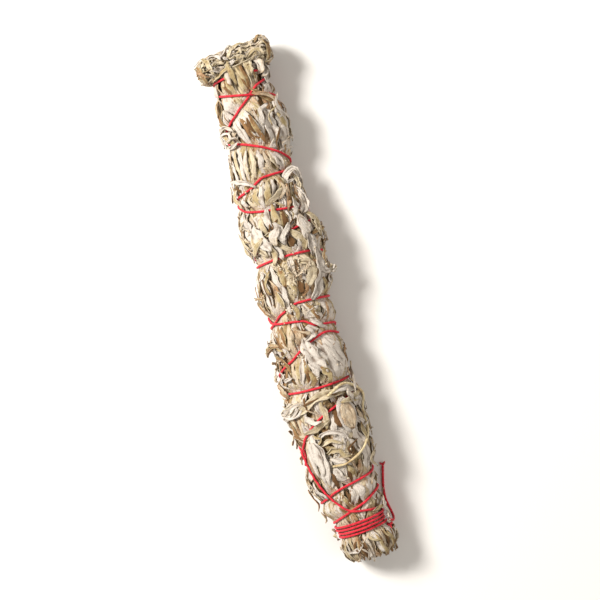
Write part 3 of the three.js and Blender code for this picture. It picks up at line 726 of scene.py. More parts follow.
    ((-12.4, -44.2, -16.3, -46.4, -20.1, -48.6), 2.6, 0.0, FELT, 1.5, 0.7, 0.3,
     dict(crinkle=0.6, over=True, lift=(0, 0.8))),
    ((-4, -43.8, -3.2, -49.5, -4, -55.8), 1.5, 0.35, OLIVE, 1, 0.8, 0.9, dict(over=True)),
    ((-0.6, -48.4, -1.2, -53.8, -2.4, -59.9), 1.3, 0.05, FELT, 1, 0.8, 1.0),
    ((-2.7, -52.5, -7.9, -54.7, -13.3, -56), 1.7, 0.35, OLIVE, 1, 0.8, 1.0, dict(over=True)),
    ((-11.6, -48.1, -8.9, -51.7, -5.2, -51.8), 1.6, 0.05, FELT, 1, 0.8, 1.0,
     dict(over=True, lift=(0, 0.8))),
    ((-0.4, -37.4, 2.9, -35.5, 7, -37.6), 1.8, 0.5, OLIVE, 1, 0.8, 0.9),
    ((4.2, -44.2, 5.4, -51.9, 5, -60.1), 3.9, 0.0, FELT, 1, 0.2, 0.5,
     dict(lobes=0.05, lift=(0.5, 0.2), over=True, crinkle=0.2)),
    ((4.6, -46.2, 5.2, -52.3, 4.9, -58.7), 2.7, 0.55, FELT, 2.5, 0.3, 0.2,
     dict(lobes=0.05, over=True, top=5.4, crinkle=0.3)),
    ((9.5, -45.2, 11.1, -47.9, 9.3, -49.3), 1.5, 0.02, FELT, 1, 0.8, 1.2, dict(over=True, lift=(0.6, 0.6))),
    # Crumpled curls in the crook of the bent stalk.
    ((-10.7, -61.4, -7, -58.2, -1.5, -58.3, 2.9, -62.3), 1.7, 0.04, FELT, 1, 0.8, 1.5,
     dict(lift=(0.4, 0.4))),
    ((-9.4, -63.6, -4.2, -61.3, 0.8, -63.6), 1.3, 0.3, OLIVE, 1, 0.8, 1.3),
    ((-7.5, -66.9, -3.5, -65.6, -0.3, -67.5), 1.6, 0.6, OLIVE, 1, 0.8, 1.2),
    ((-1.7, -65.7, 0.1, -69.4, 3.6, -69.9), 1.4, 0.5, OLIVE, 1, 0.8, 1.2),
    ((2.3, -61.2, 4.8, -65.6, 6.2, -70.6), 1.3, 0.05, FELT, 1, 0.8, 1.2),
    ((-6.3, -69, -2.2, -71.1, 1.6, -74), 1.5, 0.1, FELT, 1, 0.8, 1.2),
    ((-5.5, -73, -3.7, -78.1, -0.3, -80.9), 2.0, 0.1, FELT, 1.5, 0.8, 1.0, dict(crinkle=0.6)),
    ((-0.1, -73.5, 1.5, -77.7, 1.4, -81.3), 1.4, 0.7, OLIVE, 1, 0.8, 1.0),
    # The left flank beside it: a lumpy pale mass, strips of bark and a thin dark sliver of painted shade.
    ((-17.4, -45.6, -16.4, -58.8, -14.3, -76.1), 1.4, 0.95, OLIVE, 1, 0.9, 0.3),
    ((-15.8, -47.9, -15, -62, -13.2, -79.2), 1.1, 0.8, FELT, 1, 0.8, 0.3),
    ((-19.3, -50.7, -18.7, -63.8, -16.6, -82.9), 1.2, 0.3, FELT, 1, 0.8, 0.3),
    ((-13.2, -50.5, -13.7, -62.4, -12.1, -76.7), 1.4, 0.05, FELT, 1, 0.9, 0.3),
    ((-12.8, -52.4, -11.3, -62.1, -10, -70.8, -9.2, -81.2), 3.0, 0.0, FELT, 2, 1.0, 0.7, dict(crinkle=0.9)),
    ((-11.3, -60.3, -10.6, -67.9, -9.5, -75.6), 2.0, 0.0, FELT, 1, 1.0, 1.0, dict(crinkle=0.9)),
    ((-15.5, -75.8, -14.8, -81.5, -13.7, -87.4), 1.2, 0.9, OLIVE, 1, 0.8, 1.0, dict(crinkle=0.8)),
    # A thin dark sliver that paints the shade in a gap on this flank.
    ((-17.1, -57.8, -16, -69.1, -14.6, -80.6), 0.6, 1.0, OLIVE, 1, 0.3, 0.3, dict(shadow=0.6)),
    # The right flank, down to the whipping.
    ((6.1, -57.7, 8, -67.4, 8.2, -78.6), 3.2, 0.02, FELT, 1.5, 0.5, 0.4),
    ((10, -56.9, 10, -65.2, 10.2, -74.5), 1.2, 0.6, OLIVE, 1, 0.7, 0.3),
    ((5.8, -78.9, 7.8, -86.8, 9.3, -94.6), 3.2, 0.01, FELT, 1.5, 0.6, 0.5),
    ((-2, -80.4, -0, -86.5, -2.5, -92.3), 2.4, 0.02, FELT, 1.5, 0.8, 0.7),
    ((1.3, -78.5, 2.8, -86.4, 3.5, -93.9), 1.9, 0.05, FELT, 1, 0.8, 0.3),
    ((-6.7, -83.8, -3.8, -90.1, -0.5, -98.4), 1.4, 0.7, OLIVE, 1, 0.9, 0.7),
    ((-11.4, -84.3, -9.2, -91.4, -7.9, -98.2), 1.6, 0.15, FELT, 1.5, 0.8, 0.3),
    ((-15.2, -81.4, -13.1, -90.3, -10.7, -98.4), 1.6, 0.05, FELT, 1.5, 0.8, 0.3),
    ((-9.3, -86.7, -7.3, -92.8, -5.3, -98.9), 1.1, 0.85, OLIVE, 1, 0.8, 0.3),
    ((-19.3, -89.5, -16.5, -89.4, -14, -95.2), 1.3, 0.7, OLIVE, 1, 0.8, 1.0, dict(lift=(1.4, 0))),
    ((-20.9, -91.9, -17.8, -92.3, -15.6, -94.3), 1.1, 0.02, FELT, 1, 0.8, 1.0, dict(lift=(1.2, 0))),
    ((5.1, -96.7, 7.6, -96, 9.4, -96), 1.0, 0.62, OLIVE, 1, 0.8, 0.7, dict(over=True)),
    # The cut end below the whipping.
    ((-12.4, -108.1, -9.7, -111.6, -4.1, -111.3, 0.4, -107), 1.7, 0.05, FELT, 1, 0.8, 1.5,
     dict(lift=(0.3, 0.8))),
    ((-12.6, -105.3, -11.7, -112, -9.4, -117.2), 1.7, 0.1, FELT, 1.5, 0.9, 0.3),
    ((-9.4, -107.1, -8.3, -113.4, -6.8, -117.9), 1.5, 0.5, OLIVE, 1.5, 0.9, 0.3),
    ((-4.4, -105.7, -2.6, -112.6, -2, -117.4), 1.4, 0.9, OLIVE, 1, 0.9, 0.3),
    ((-1.3, -104.7, 0.2, -112.5, 0.3, -119), 1.6, 0.3, FELT, 1.5, 0.9, 0.3),
    ((1.7, -103.6, 4.2, -109.9, 4.9, -115.6), 1.7, 0.02, FELT, 1.5, 0.8, 0.3),
    ((3.9, -106.1, 5.6, -113, 7, -118.1), 1.4, 0.6, OLIVE, 1, 0.8, 0.3),
    ((7.2, -100.5, 9.3, -106.6, 10.3, -112.9), 2.1, 0.02, FELT, 1.5, 0.7, 0.3),
    ((8.2, -107.3, 9.5, -112.3, 10.3, -116.2), 1.2, 0.75, OLIVE, 1, 0.8, 0.3),
    # More leaves that hide the thread: at the neck, at the left and right of the middle.
    ((3.4, 112.4, 3.9, 107.2, 3.8, 102.1), 2.0, 0.45, OLIVE, 1.5, 0.8, 0.3, dict(over=TOP_TURN)),
    ((8, 112.1, 8.5, 107.3, 8.2, 102.8), 1.6, 0.25, FELT, 2, 1.0, 0.9, dict(crinkle=0.8, over=TOP_TURN)),
    ((10.9, 109.4, 11, 104.7, 10.9, 99.2), 1.6, 0.05, FELT, 1.5, 1.0, 0.9,
     dict(crinkle=0.8, over=TOP_TURN)),
    ((-3.7, 111.6, -3, 105.8, -2.7, 100.2), 1.4, 0.55, OLIVE, 1, 0.9, 0.3, dict(over=TOP_TURN)),
    ((-2.5, 37.2, -1.2, 31.8, -0.3, 26.5), 1.9, 0.1, FELT, 1, 0.9, 0.8, dict(over=True)),
    ((6, 39.5, 7.9, 33, 8.1, 26.9), 2.2, 0.15, FELT, 1.5, 0.9, 0.8, dict(over=True)),
    ((11.2, 39.9, 12.8, 33.9, 13.1, 26.5), 2.1, 0.4, OLIVE, 1.5, 0.9, 0.8, dict(over=True)),
    ((-16.2, 34.5, -15.1, 30.1, -14.1, 25.2), 1.5, 0.1, FELT, 1, 0.9, 0.9, dict(over=True)),
    # Dark slivers that paint the shade in gaps between leaves are laid after this table.
    # Leaves that lie over the thread where it dips under the foliage.
    ((7, 37.9, 8.6, 33.7, 8.6, 28.6), 2.2, 0.2, FELT, 1.5, 0.9, 0.7, dict(over=True)),
    ((10.8, 38.2, 12.8, 33.9, 12.8, 28.9), 2.0, 0.3, OLIVE, 1.5, 0.8, 0.9, dict(over=True)),
    ((3.1, 35.7, 0.6, 31.7, -1, 27.6), 1.3, 0.0, FELT, 1, 0.8, 1.0, dict(over=True)),
    ((-1.2, 35, -3.6, 31.5, -4.3, 27.1), 1.9, 0.2, FELT, 1.5, 0.9, 0.8, dict(over=True)),
    ((-10.9, 38.6, -9, 32.1, -6.2, 25.3), 2.8, 0.1, FELT, 2, 0.8, 0.5, dict(over=True, crinkle=0.8)),
    ((-8, 32.3, -10.9, 28.4, -13.4, 24.5), 1.5, 0.35, OLIVE, 1, 0.9, 0.9, dict(over=True)),
    ((-15.8, 30.7, -14.6, 26.7, -14.8, 22.6), 1.3, 0.5, OLIVE, 1, 0.8, 1.0, dict(over=True)),
    ((6.5, 46.3, 7.2, 42, 5.7, 38.2), 1.5, 0.0, FELT, 1, 0.8, 1.1, dict(over=True, lift=(0.3, 0.9))),
    ((10, 45.4, 10.7, 41.5, 9.3, 38.1), 1.7, 0.25, FELT, 1.5, 0.8, 0.9, dict(over=True)),
    ((-13.5, 56, -14.6, 52.1, -13.6, 47.2), 1.7, 0.35, OLIVE, 1, 0.8, 0.9, dict(over=True)),
    ((-14.7, 58.2, -14.8, 54.5, -16.7, 50.9), 1.2, 0.05, FELT, 1, 0.8, 1.2,
     dict(over=True, lift=(0.2, 1.2))),
    ((11, -43.3, 8, -45.7, 3.5, -46.8), 1.7, 0.4, OLIVE, 1, 0.9, 0.8, dict(over=True)),
    ((6.9, -41.2, 7.7, -45.1, 9.2, -49.7), 1.5, 0.1, FELT, 1, 0.8, 0.9, dict(over=True)),
    ((-16.3, -78.3, -14.1, -82.2, -11, -86.2), 1.6, 0.05, FELT, 1, 0.8, 0.9, dict(over=True)),
    ((-16.8, -76.8, -15.4, -81.8, -14, -86.8), 1.3, 0.5, OLIVE, 1, 0.8, 0.9, dict(over=True)),
))

# Dark brown slivers laid low between leaves, painting the shade in the gaps.
shade_slivers((
    ((-13, 57.7, -13, 54.5, -13, 51.2), 1.1),
    ((5.8, 47, 6.2, 43.6, 5.8, 40.5), 1.2),
    ((1.7, 30.5, 2.3, 27.6, 1.9, 24.5), 1.4),
    ((0.7, 10, 0.8, 7.2, 1.4, 4.2), 1.3),
    ((0.8, -45.1, 1.1, -50.7, 0.8, -56.7), 1.4),
    ((-1.9, 84.7, -1.4, 81.3, -0.2, 77.3), 0.8),
    ((1.3, 91.2, 2, 88.7, 2.4, 84.9), 0.6),
    ((-14.2, -20.6, -12.7, -18.3, -11.1, -15.9), 0.9),
    ((-3.3, -7.9, -2.6, -11.8, -3.1, -15.3), 0.8),
    ((-3.6, -84.6, -2.2, -89.6, -1.9, -93.4), 0.9),
    ((-6.7, -75.4, -6.3, -79.2, -6.4, -82.9), 1.0),
    ((-0.8, -76.1, 0.2, -79.2, 0.7, -82.1), 0.9),
    ((-2, -107.2, -1.5, -112, -1.4, -116.7), 0.9),
    ((6.7, -105.9, 8.1, -110.9, 8.4, -114.7), 0.8),
    ((-14, 70.9, -13.7, 65.3, -13.4, 59.7), 0.6),
    ((2, 43.4, 1.9, 37.9, 1.1, 33.5), 0.9),
    ((-6.9, 32.9, -4.4, 30.3, -1.3, 28.1), 0.6),
    ((-12.8, 21.6, -12.6, 12.3, -12.6, 2.1), 0.5),
    ((-1.2, -37.1, -5.2, -41.6, -10.9, -43.7), 0.6),
    ((-5.8, -30.3, -5.9, -34, -6, -37.7), 0.9),
))

# Thin dark slivers strewn between the pleats, painting the shade in the crevices.
scattered(90, -115, 104, (6, 20), (0.3, 0.65), 14, tone=1.0, upper=True, pleats=1, depth=0.15, curl=0.2,
          shadow=between(0.3, 0.7), crinkle=0.2)
for flank in (0, 180):
    scattered(70, -114, 104, (5, 13), (0.6, 1.5), 40, around=(flank - 28, flank + 28), pleats=1,
              tone=between(0.0, 0.9), upper=chance(0.5), curl=between(0.6, 1.8), lobes=0.5, twist=0.5,
              lift=lambda: (rng.uniform(0, 2.6), rng.uniform(0, 2.6)), over=chance(0.2), crinkle=0.8)
scattered(170, -116, 105, (4, 11), (0.6, 1.4), 40, tone=between(0.0, 0.75), upper=chance(0.4),
          pleats=between(1, 2), depth=between(0.3, 0.8), curl=between(0.9, 2.2),
          lobes=between(0.2, 0.6), lift=lambda: (rng.uniform(0, 1.4), rng.uniform(0, 1.4)),
          twist=between(0.2, 0.8), over=chance(0.04))


# ---- the folded tip -----------------------------------------------------------------------------
def crown_piece(a):
    """The fold of the tip that a place along its roll belongs to, counted from the left."""
    return f"crown_fold_{int(np.clip((17 - a) / 8.5, 0, 3.99)) + 1}"


def crown_leaf(a, degrees, length, lean, width, **kind):
    half = length / 2
    da, db = half * math.cos(lean), math.degrees(half * math.sin(lean) / MEAN_RADIUS)
    route = [(a - da, degrees - db), (a, degrees + rng.normal(0, 6)), (a + da, degrees + db)]
    route = [(float(np.clip(p[0], CROWN_ENDS[0], CROWN_ENDS[1])), p[1]) for p in route]
    lay_leaf(crown, crown_piece(a), route, width, **kind)


def on_crown(points, width, **kind):
    """A leaf of the tip laid along points given from above."""
    route = []
    for x, y in points:
        off = np.array((x + CENTRING, y, 0)) - CROWN_CENTRE
        a, across = float(off @ CROWN_AXIS), float(off @ CROWN_ACROSS)
        degrees = math.degrees(math.acos(np.clip(across / (CROWN_REACH[0] + 1.5), -0.98, 0.98)))
        route.append((float(np.clip(a, CROWN_ENDS[0], CROWN_ENDS[1])), degrees))
    lay_leaf(crown, crown_piece(route[1][0]), route, width, **kind)


for count, longest, widest, tones, top, slant in ((50, 24, 3.6, (0.5, 1.0), 0.3, 0.5),
                                                  (90, 12, 2.3, (0.1, 0.7), 1.4, 0.9),
                                                  (230, 6.5, 1.5, (0.0, 0.5), 2.8, 1.4)):
    for _ in range(count):
        crown_leaf(rng.uniform(-15, 17), rng.uniform(-20, 200), rng.uniform(0.45, 1) * longest,
                   rng.normal(0, slant), rng.uniform(0.45, 1) * widest, tone=rng.uniform(*tones),
                   upper=rng.uniform() < 0.5, pleats=rng.uniform(1, 2.5), depth=rng.uniform(0.5, 1.3),
                   curl=rng.uniform(0.4, 2.0), lobes=0.4, twist=rng.uniform(0, 0.9), crinkle=1.0,
                   lift=(rng.uniform(0, 1.8), rng.uniform(0, 1.8)), top=top)
        if rng.uniform() < 0.3:
            crown_leaf(rng.uniform(-15, 17), rng.uniform(200, 340), rng.uniform(0.45, 1) * longest,
                       rng.normal(0, slant), rng.uniform(0.45, 1) * widest, tone=rng.uniform(*tones),
                       pleats=2, crinkle=0.8, top=top)
for end in CROWN_ENDS:
    for _ in range(30):
        crown_leaf(end - math.copysign(rng.uniform(0, 5), end), rng.uniform(0, 360),
                   rng.uniform(4, 9), rng.normal(0, 0.9), rng.uniform(0.5, 1.3), upper=rng.uniform() < 0.6,
                   tone=rng.uniform(0, 0.7), pleats=1, curl=1.2, lobes=0.5, twist=0.6, crinkle=0.8,
                   lift=(rng.uniform(0, 2.4), rng.uniform(0, 2.4)))

lay_leaves((
    ((-12.1, 109.7, -6.4, 108.6, -0.2, 111.1), 1.2, 0.0, FELT, 1, 0.8, 1.5, dict(lift=(0.6, 1.0))),
    ((-5.6, 106.6, 0.6, 107.2, 6, 108.4), 1.2, 0.12, FELT, 1, 0.8, 1.2, dict(lift=(0.6, 0.6))),
    ((-5.3, 109.2, 1.2, 109.3, 8.2, 111.1), 1.7, 0.35, OLIVE, 1.5, 0.8, 0.3),
    ((4.5, 111.2, 9.7, 113.4, 12.7, 110.8), 1.6, 0.3, OLIVE, 1.5, 0.8, 0.3),
    ((9, 117.3, 14, 118.7, 16.3, 115.3), 1.6, 0.05, FELT, 1, 0.8, 1.3, dict(lift=(0.5, 0.8))),
    ((-3.5, 112.5, 1.1, 115.8, 7.1, 117.4), 1.5, 0.3, OLIVE, 1.5, 0.8, 0.9),
    ((-6.1, 113.2, -3.4, 116.1, -0.3, 117.1), 1.4, 0.05, FELT, 1, 0.8, 1.4, dict(lift=(0.5, 0.9))),
    ((-14, 116.3, -12.4, 112.1, -11.2, 108.1), 1.5, 0.4, OLIVE, 1.5, 0.8, 0.9),
    ((-12.3, 114, -8.4, 114.7, -6.3, 112.3), 1.3, 0.1, FELT, 1, 0.8, 1.3, dict(lift=(0.5, 0.9))),
    ((-17.1, 113.4, -16.3, 109.5, -15.1, 105.5), 1.3, 0.85, OLIVE, 1.5, 0.8, 0.9, dict(lift=(1, 0.6))),
    ((-18, 111.8, -15.7, 108.4, -12.7, 107.6), 1.2, 0.9, FELT, 1, 0.8, 1.0, dict(lift=(1, 0.2))),
    ((14.1, 115.9, 15.6, 112.8, 14.2, 109.4), 1.2, 0.8, OLIVE, 1, 0.8, 1.0, dict(lift=(0.4, 0.9))),
    ((10.4, 116, 12.7, 119.1, 12.5, 121.9), 1.1, 0.9, OLIVE, 1, 0.8, 1.0, dict(lift=(0.2, 0.8))),
), on_crown)

# ---- the crushed leaves inside ------------------------------------------------------------------
def inside(share):
    """The bundle's section at that share of its radius."""
    def section(y):
        centre, first, second, wide, high = bundle_section(y)
        return centre, first, second, wide * share, high * share
    return section


core = Form(-118, 110, inside(0.62))
core.limit[:] = 1.4
for _ in range(90):
    y, degrees, half = rng.uniform(-100, 90), rng.uniform(0, 360), rng.uniform(18, 36)
    sector = f"inner_sprig_{int(degrees // 60) + 1}"
    route = [(max(y - half, -115.5), degrees), (y, degrees + rng.normal(0, 8)), (y + half, degrees)]
    lay_leaf(core, sector, route, rng.uniform(2.5, 4.5), tone=rng.uniform(0.5, 1), upper=True,
             pleats=3, depth=0.8, coarse=True)

# The cut end is packed full: leaf ends at every depth between the stems and the outer leaves.
for share, count in ((0.42, 16), (0.58, 28), (0.76, 38)):
    packed = Form(-118.5, -84, inside(share))
    packed.relief[:] = -0.7
    packed.limit[:] = 1.2
    for _ in range(count):
        degrees, end = rng.uniform(0, 360), rng.uniform(-118, -114)
        name = f"inner_sprig_{int(degrees // 60) + 1}" if share < 0.7 else sprig_at(-110, degrees)
        lay_leaf(packed, name, [(end, degrees), (-107, degrees + rng.normal(0, 9)), (-96, degrees)],
                 rng.uniform(1.2, 2.2), tone=rng.uniform(0, 1), upper=rng.uniform() < 0.5, pleats=1,
                 depth=0.9, curl=rng.uniform(1.0, 2.6), blunt=0.2, lobes=0.3, crinkle=0.7, coarse=True)

# ---- leaves that stand clear of the flanks ------------------------------------------------------
loose_leaf("curled_leaf_right", [(5.0, 45.0, 15.6), (6.4, 51.6, 16.8), (9.0, 57.2, 16.8),
                                 (12.0, 58.4, 15.6), (13.4, 55.0, 13.8), (12.8, 49.0, 12.6)], 1.9,
           tone=0.1, curl=0.9, roll=12, crinkle=1.2, pleats=2.5, upper=True)
loose_leaf("curled_leaf_right", [(10.8, 56.0, 15.6), (12.2, 52.5, 15.2), (11.6, 47.6, 14.8)], 1.5,
           tone=0.05, curl=0.8, crinkle=0.9, roll=10)
loose_leaf("curled_leaf_right", [(8.2, 55.4, 16.8), (9.4, 50.5, 16.8), (8.2, 44.4, 16.2)], 1.1, tone=0.72,
           curl=1.0, crinkle=0.8)
loose_leaf("curled_leaf_right", [(7.4, 50.4, 16.4), (10.8, 48.6, 17.2), (12.4, 43.6, 16.8),
                                 (11.4, 38.4, 16.6), (8.2, 35.4, 16.8)], 2.6, tone=0.12, curl=0.6, roll=4,
           depth=1.2, pleats=3.5, blunt=0.3, crinkle=1.3, upper=True)
loose_leaf("loose_tip_right", [(9.6, 16.0, 19.6), (12.0, 12.4, 19.0), (14.6, 11.0, 17.4),
                               (17.4, 11.4, 16.2)], 1.6, tone=0.0, curl=1.1, crinkle=0.7, upper=True)
for roll in (-50, 10, 70):
    loose_leaf("loose_tip_right", [(15.4, 10.8, 17.0), (17.0, 11.4, 16.4), (18.6, 12.4, 16.0)], 1.0,
               tone=0.0, curl=1.3, crinkle=1.2, roll=roll, upper=True, blunt=0.8)
for _ in range(9):
    loose_leaf("white_tuft_left", [(-10.8, -43 + rng.uniform(-2, 2), 21.2),
                                   (-16.0, -44.6 + rng.uniform(-2.5, 2), 19.8 + rng.uniform(-1, 1)),
                                   (-20.6 + rng.uniform(-1, 0.6), -46.6 + rng.uniform(-2.6, 2.4), 15.6)],
               rng.uniform(1.6, 2.9), tone=rng.uniform(0, 0.06), curl=rng.uniform(0.4, 1.2), crinkle=0.9,
               roll=rng.uniform(-35, 20), upper=True)
for _ in range(6):
    loose_leaf("brown_frond_left", [(-11.5, -18.5 + rng.uniform(-1, 1), 18.6),
                                    (-16.4, -15.6, 17.0 + rng.uniform(-1, 1)),
                                    (-19.8, -16.4 + rng.uniform(-0.8, 0.8), 13.4),
                                    (-21.2, -18.6 + rng.uniform(-1.2, 1.2), 11.5)],
               rng.uniform(0.5, 1.0), tone=rng.uniform(0.75, 1), upper=True, curl=rng.uniform(0.8, 1.6),
               roll=rng.uniform(-40, 30))

for x, y, lean in TWIGS:
    for _ in range(2):
        spread = rng.uniform(-0.8, 0.8, 2)
        loose_leaf("brown_frond_left", [(x + 4.5, y - 2.4 * lean, 15.5),
                                        (x + 2, y - lean, 14.5 + spread[0]),
                                        (x + 0.8 + spread[0], y + spread[1], 12.5)],
                   rng.uniform(0.45, 0.9), tone=rng.uniform(0.6, 1), upper=True, curl=1.3, crinkle=0.8,
                   roll=rng.uniform(-40, 30))

# ---- materials ----------------------------------------------------------------------------------
def new_group(name, inputs, outputs):
    """An empty shader group with sockets named and typed, and given their default values."""
    group = bpy.data.node_groups.new(name, "ShaderNodeTree")
    for label, kind, value in inputs:
        socket = group.interface.new_socket(label, in_out="INPUT", socket_type="NodeSocket" + kind)
        socket.default_value = value
    for label, kind in outputs:
        group.interface.new_socket(label, in_out="OUTPUT", socket_type="NodeSocket" + kind)
    return group, group.nodes.new("NodeGroupInput"), group.nodes.new("NodeGroupOutput")


def wire(tree, source, target):
    tree.links.new(source, target)


def math_node(tree, operation, first, second, clamp=False):
    node = tree.nodes.new("ShaderNodeMath")
    node.operation, node.use_clamp = operation, clamp
    for socket, value in zip(node.inputs, (first, second)):
        if isinstance(value, (int, float)):
            socket.default_value = value
        else:
            wire(tree, value, socket)
    return node.outputs[0]


def mixed(tree, factor, first, second, blend="MIX"):
    node = tree.nodes.new("ShaderNodeMix")
    node.data_type, node.blend_type = "RGBA", blend
    for socket, value in zip((node.inputs[0], node.inputs[6], node.inputs[7]), (factor, first, second)):
        if isinstance(value, tuple):
            socket.default_value = (*value, 1)
        elif isinstance(value, (int, float)):
            socket.default_value = value
        else:
            wire(tree, value, socket)
    return node.outputs[2]


def noise(tree, vector, scale, detail=3.0, rough=0.6, stretch=None):
    if stretch:
        mapping = tree.nodes.new("ShaderNodeMapping")
        mapping.inputs["Scale"].default_value = stretch
        wire(tree, vector, mapping.inputs["Vector"])
        vector = mapping.outputs[0]
    node = tree.nodes.new("ShaderNodeTexNoise")
    node.inputs["Scale"].default_value = scale
    node.inputs["Detail"].default_value = detail
    node.inputs["Roughness"].default_value = rough
    wire(tree, vector, node.inputs["Vector"])
    return node.outputs["Fac"]


def ranged(tree, value, low, high):
    node = tree.nodes.new("ShaderNodeMapRange")
    node.interpolation_type = "SMOOTHSTEP"
    node.inputs["From Min"].default_value, node.inputs["From Max"].default_value = low, high
    wire(tree, value, node.inputs["Value"])
    return node.outputs[0]


def attribute(tree, name):
    node = tree.nodes.new("ShaderNodeAttribute")
    node.attribute_name = name
    return node.outputs["Fac"]


def dry_leaf_group():
    """Mottled colour, painted shade in the folds and the felt's relief, shared by every leaf."""
    group, inside, out = new_group(
        "dry_leaf",
        [("Pale", "Color", (0.8, 0.75, 0.65, 1)), ("Olive", "Color", (0.4, 0.35, 0.2, 1)),
         ("Brown", "Color", (0.3, 0.2, 0.1, 1)), ("FoldShadeColour", "Color", (0.10, 0.045, 0.014, 1)),
         ("FoldShadeStrength", "Float", 0.8), ("Felt", "Float", 0.5)],
        [("Color", "Color"), ("Height", "Float"), ("Roughness", "Float")])
    place = group.nodes.new("ShaderNodeTexCoord").outputs["Object"]
    leaf_map = group.nodes.new("ShaderNodeUVMap")
    leaf_map.uv_map = "leaf"
    blotch = noise(group, place, 210, 4, 0.62)
    fibre = noise(group, place, 2600, 2, 0.6)
    speckle = noise(group, place, 900, 3, 0.7)
    ribs = noise(group, leaf_map.outputs[0], 1, 3, 0.6, (34, 3.2, 1))
    tone = math_node(group, "ADD", attribute(group, "tone"),
                     math_node(group, "MULTIPLY", math_node(group, "SUBTRACT", blotch, 0.5), 0.9))
    tone = math_node(group, "ADD", tone,
                     math_node(group, "MULTIPLY", math_node(group, "SUBTRACT", ribs, 0.5), 0.5))
    tone = math_node(group, "ADD", tone,
                     math_node(group, "MULTIPLY", math_node(group, "SUBTRACT", speckle, 0.5), 0.5))
    first = mixed(group, ranged(group, tone, 0.12, 0.6), inside.outputs["Pale"], inside.outputs["Olive"])
    colour = mixed(group, ranged(group, tone, 0.58, 0.88), first, inside.outputs["Brown"])
    # Painted shade: leaves are darkened towards the dark fold colour where they lie deep in a fold.
    shade = math_node(group, "MULTIPLY", ranged(group, attribute(group, "painted_fold_shade"), 0.35, 0.98),
                      inside.outputs["FoldShadeStrength"])
    colour = mixed(group, shade, colour, inside.outputs["FoldShadeColour"])
    grain = math_node(group, "ADD", math_node(group, "MULTIPLY", fibre, 0.55), 0.72)
    bright = group.nodes.new("ShaderNodeHueSaturation")
    wire(group, colour, bright.inputs["Color"])
    wire(group, grain, bright.inputs["Value"])
    wire(group, bright.outputs[0], out.inputs["Color"])
    felt_height = math_node(group, "MULTIPLY", fibre, inside.outputs["Felt"])
    height = math_node(group, "ADD", felt_height, math_node(group, "MULTIPLY", ribs, 1.0))
    height = math_node(group, "ADD", height, math_node(group, "MULTIPLY", blotch, 0.8))
    height = math_node(group, "ADD", height, math_node(group, "MULTIPLY", speckle, 1.2))
    wire(group, height, out.inputs["Height"])
    roughness = math_node(group, "ADD", math_node(group, "MULTIPLY", fibre, 0.2), 0.72)
    wire(group, roughness, out.inputs["Roughness"])
    return group


dry_leaf = dry_leaf_group()


def leaf_material(name, pale, deep, brown, felt, sheen):
    material = bpy.data.materials.new(name)
    material.use_nodes = True
    tree = material.node_tree
    shader = tree.nodes["Principled BSDF"]
    shader.inputs["Specular IOR Level"].default_value = 0.22
    shader.inputs["Sheen Weight"].default_value = sheen
    shader.inputs["Sheen Roughness"].default_value = 0.5
    look = tree.nodes.new("ShaderNodeGroup")
    look.node_tree = dry_leaf
    for label, value in (("Pale", pale), ("Olive", deep), ("Brown", brown)):
        look.inputs[label].default_value = (*value, 1)
    look.inputs["Felt"].default_value = felt
    bump = tree.nodes.new("ShaderNodeBump")
    bump.inputs["Strength"].default_value = 0.9
    bump.inputs["Distance"].default_value = 0.5 * MM
    wire(tree, look.outputs["Height"], bump.inputs["Height"])
    wire(tree, bump.outputs[0], shader.inputs["Normal"])
    wire(tree, look.outputs["Color"], shader.inputs["Base Color"])
    wire(tree, look.outputs["Roughness"], shader.inputs["Roughness"])
    return material


felt = leaf_material("leaf_underside", (0.65, 0.59, 0.52), (0.60, 0.48, 0.33), (0.38, 0.22, 0.11),
                     0.7, 0.1)
olive = leaf_material("leaf_upper_side", (0.62, 0.53, 0.38), (0.43, 0.335, 0.17), (0.27, 0.145, 0.06),
                      0.3, 0.05)


def finish_leaves(name, replaced):
    bm = pieces[name]
    mesh = bpy.data.meshes.new(name + "_leaves")
    bm.to_mesh(mesh)
    bm.free()
    for material in (felt, olive, felt):
        mesh.materials.append(material)
    piece = bpy.data.objects.new(name + "_leaves", mesh)
    bpy.context.scene.collection.objects.link(piece)
    thick = piece.modifiers.new("blade", "SOLIDIFY")
    thick.thickness = LEAF_THICKNESS * MM
    thick.offset = 0
    thick.material_offset = 1
    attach(piece, "root")
    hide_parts(*replaced)
    return piece


for name in sorted(pieces):
    finish_leaves(name, [name])
for mesh, *_ in blades.values():
    bpy.data.meshes.remove(mesh)


def plain(name, colour, roughness=0.8):
    material = bpy.data.materials.new(name)
    material.use_nodes = True
    shader = material.node_tree.nodes["Principled BSDF"]
    shader.inputs["Base Color"].default_value = (*colour, 1)
    shader.inputs["Roughness"].default_value = roughness
    return material


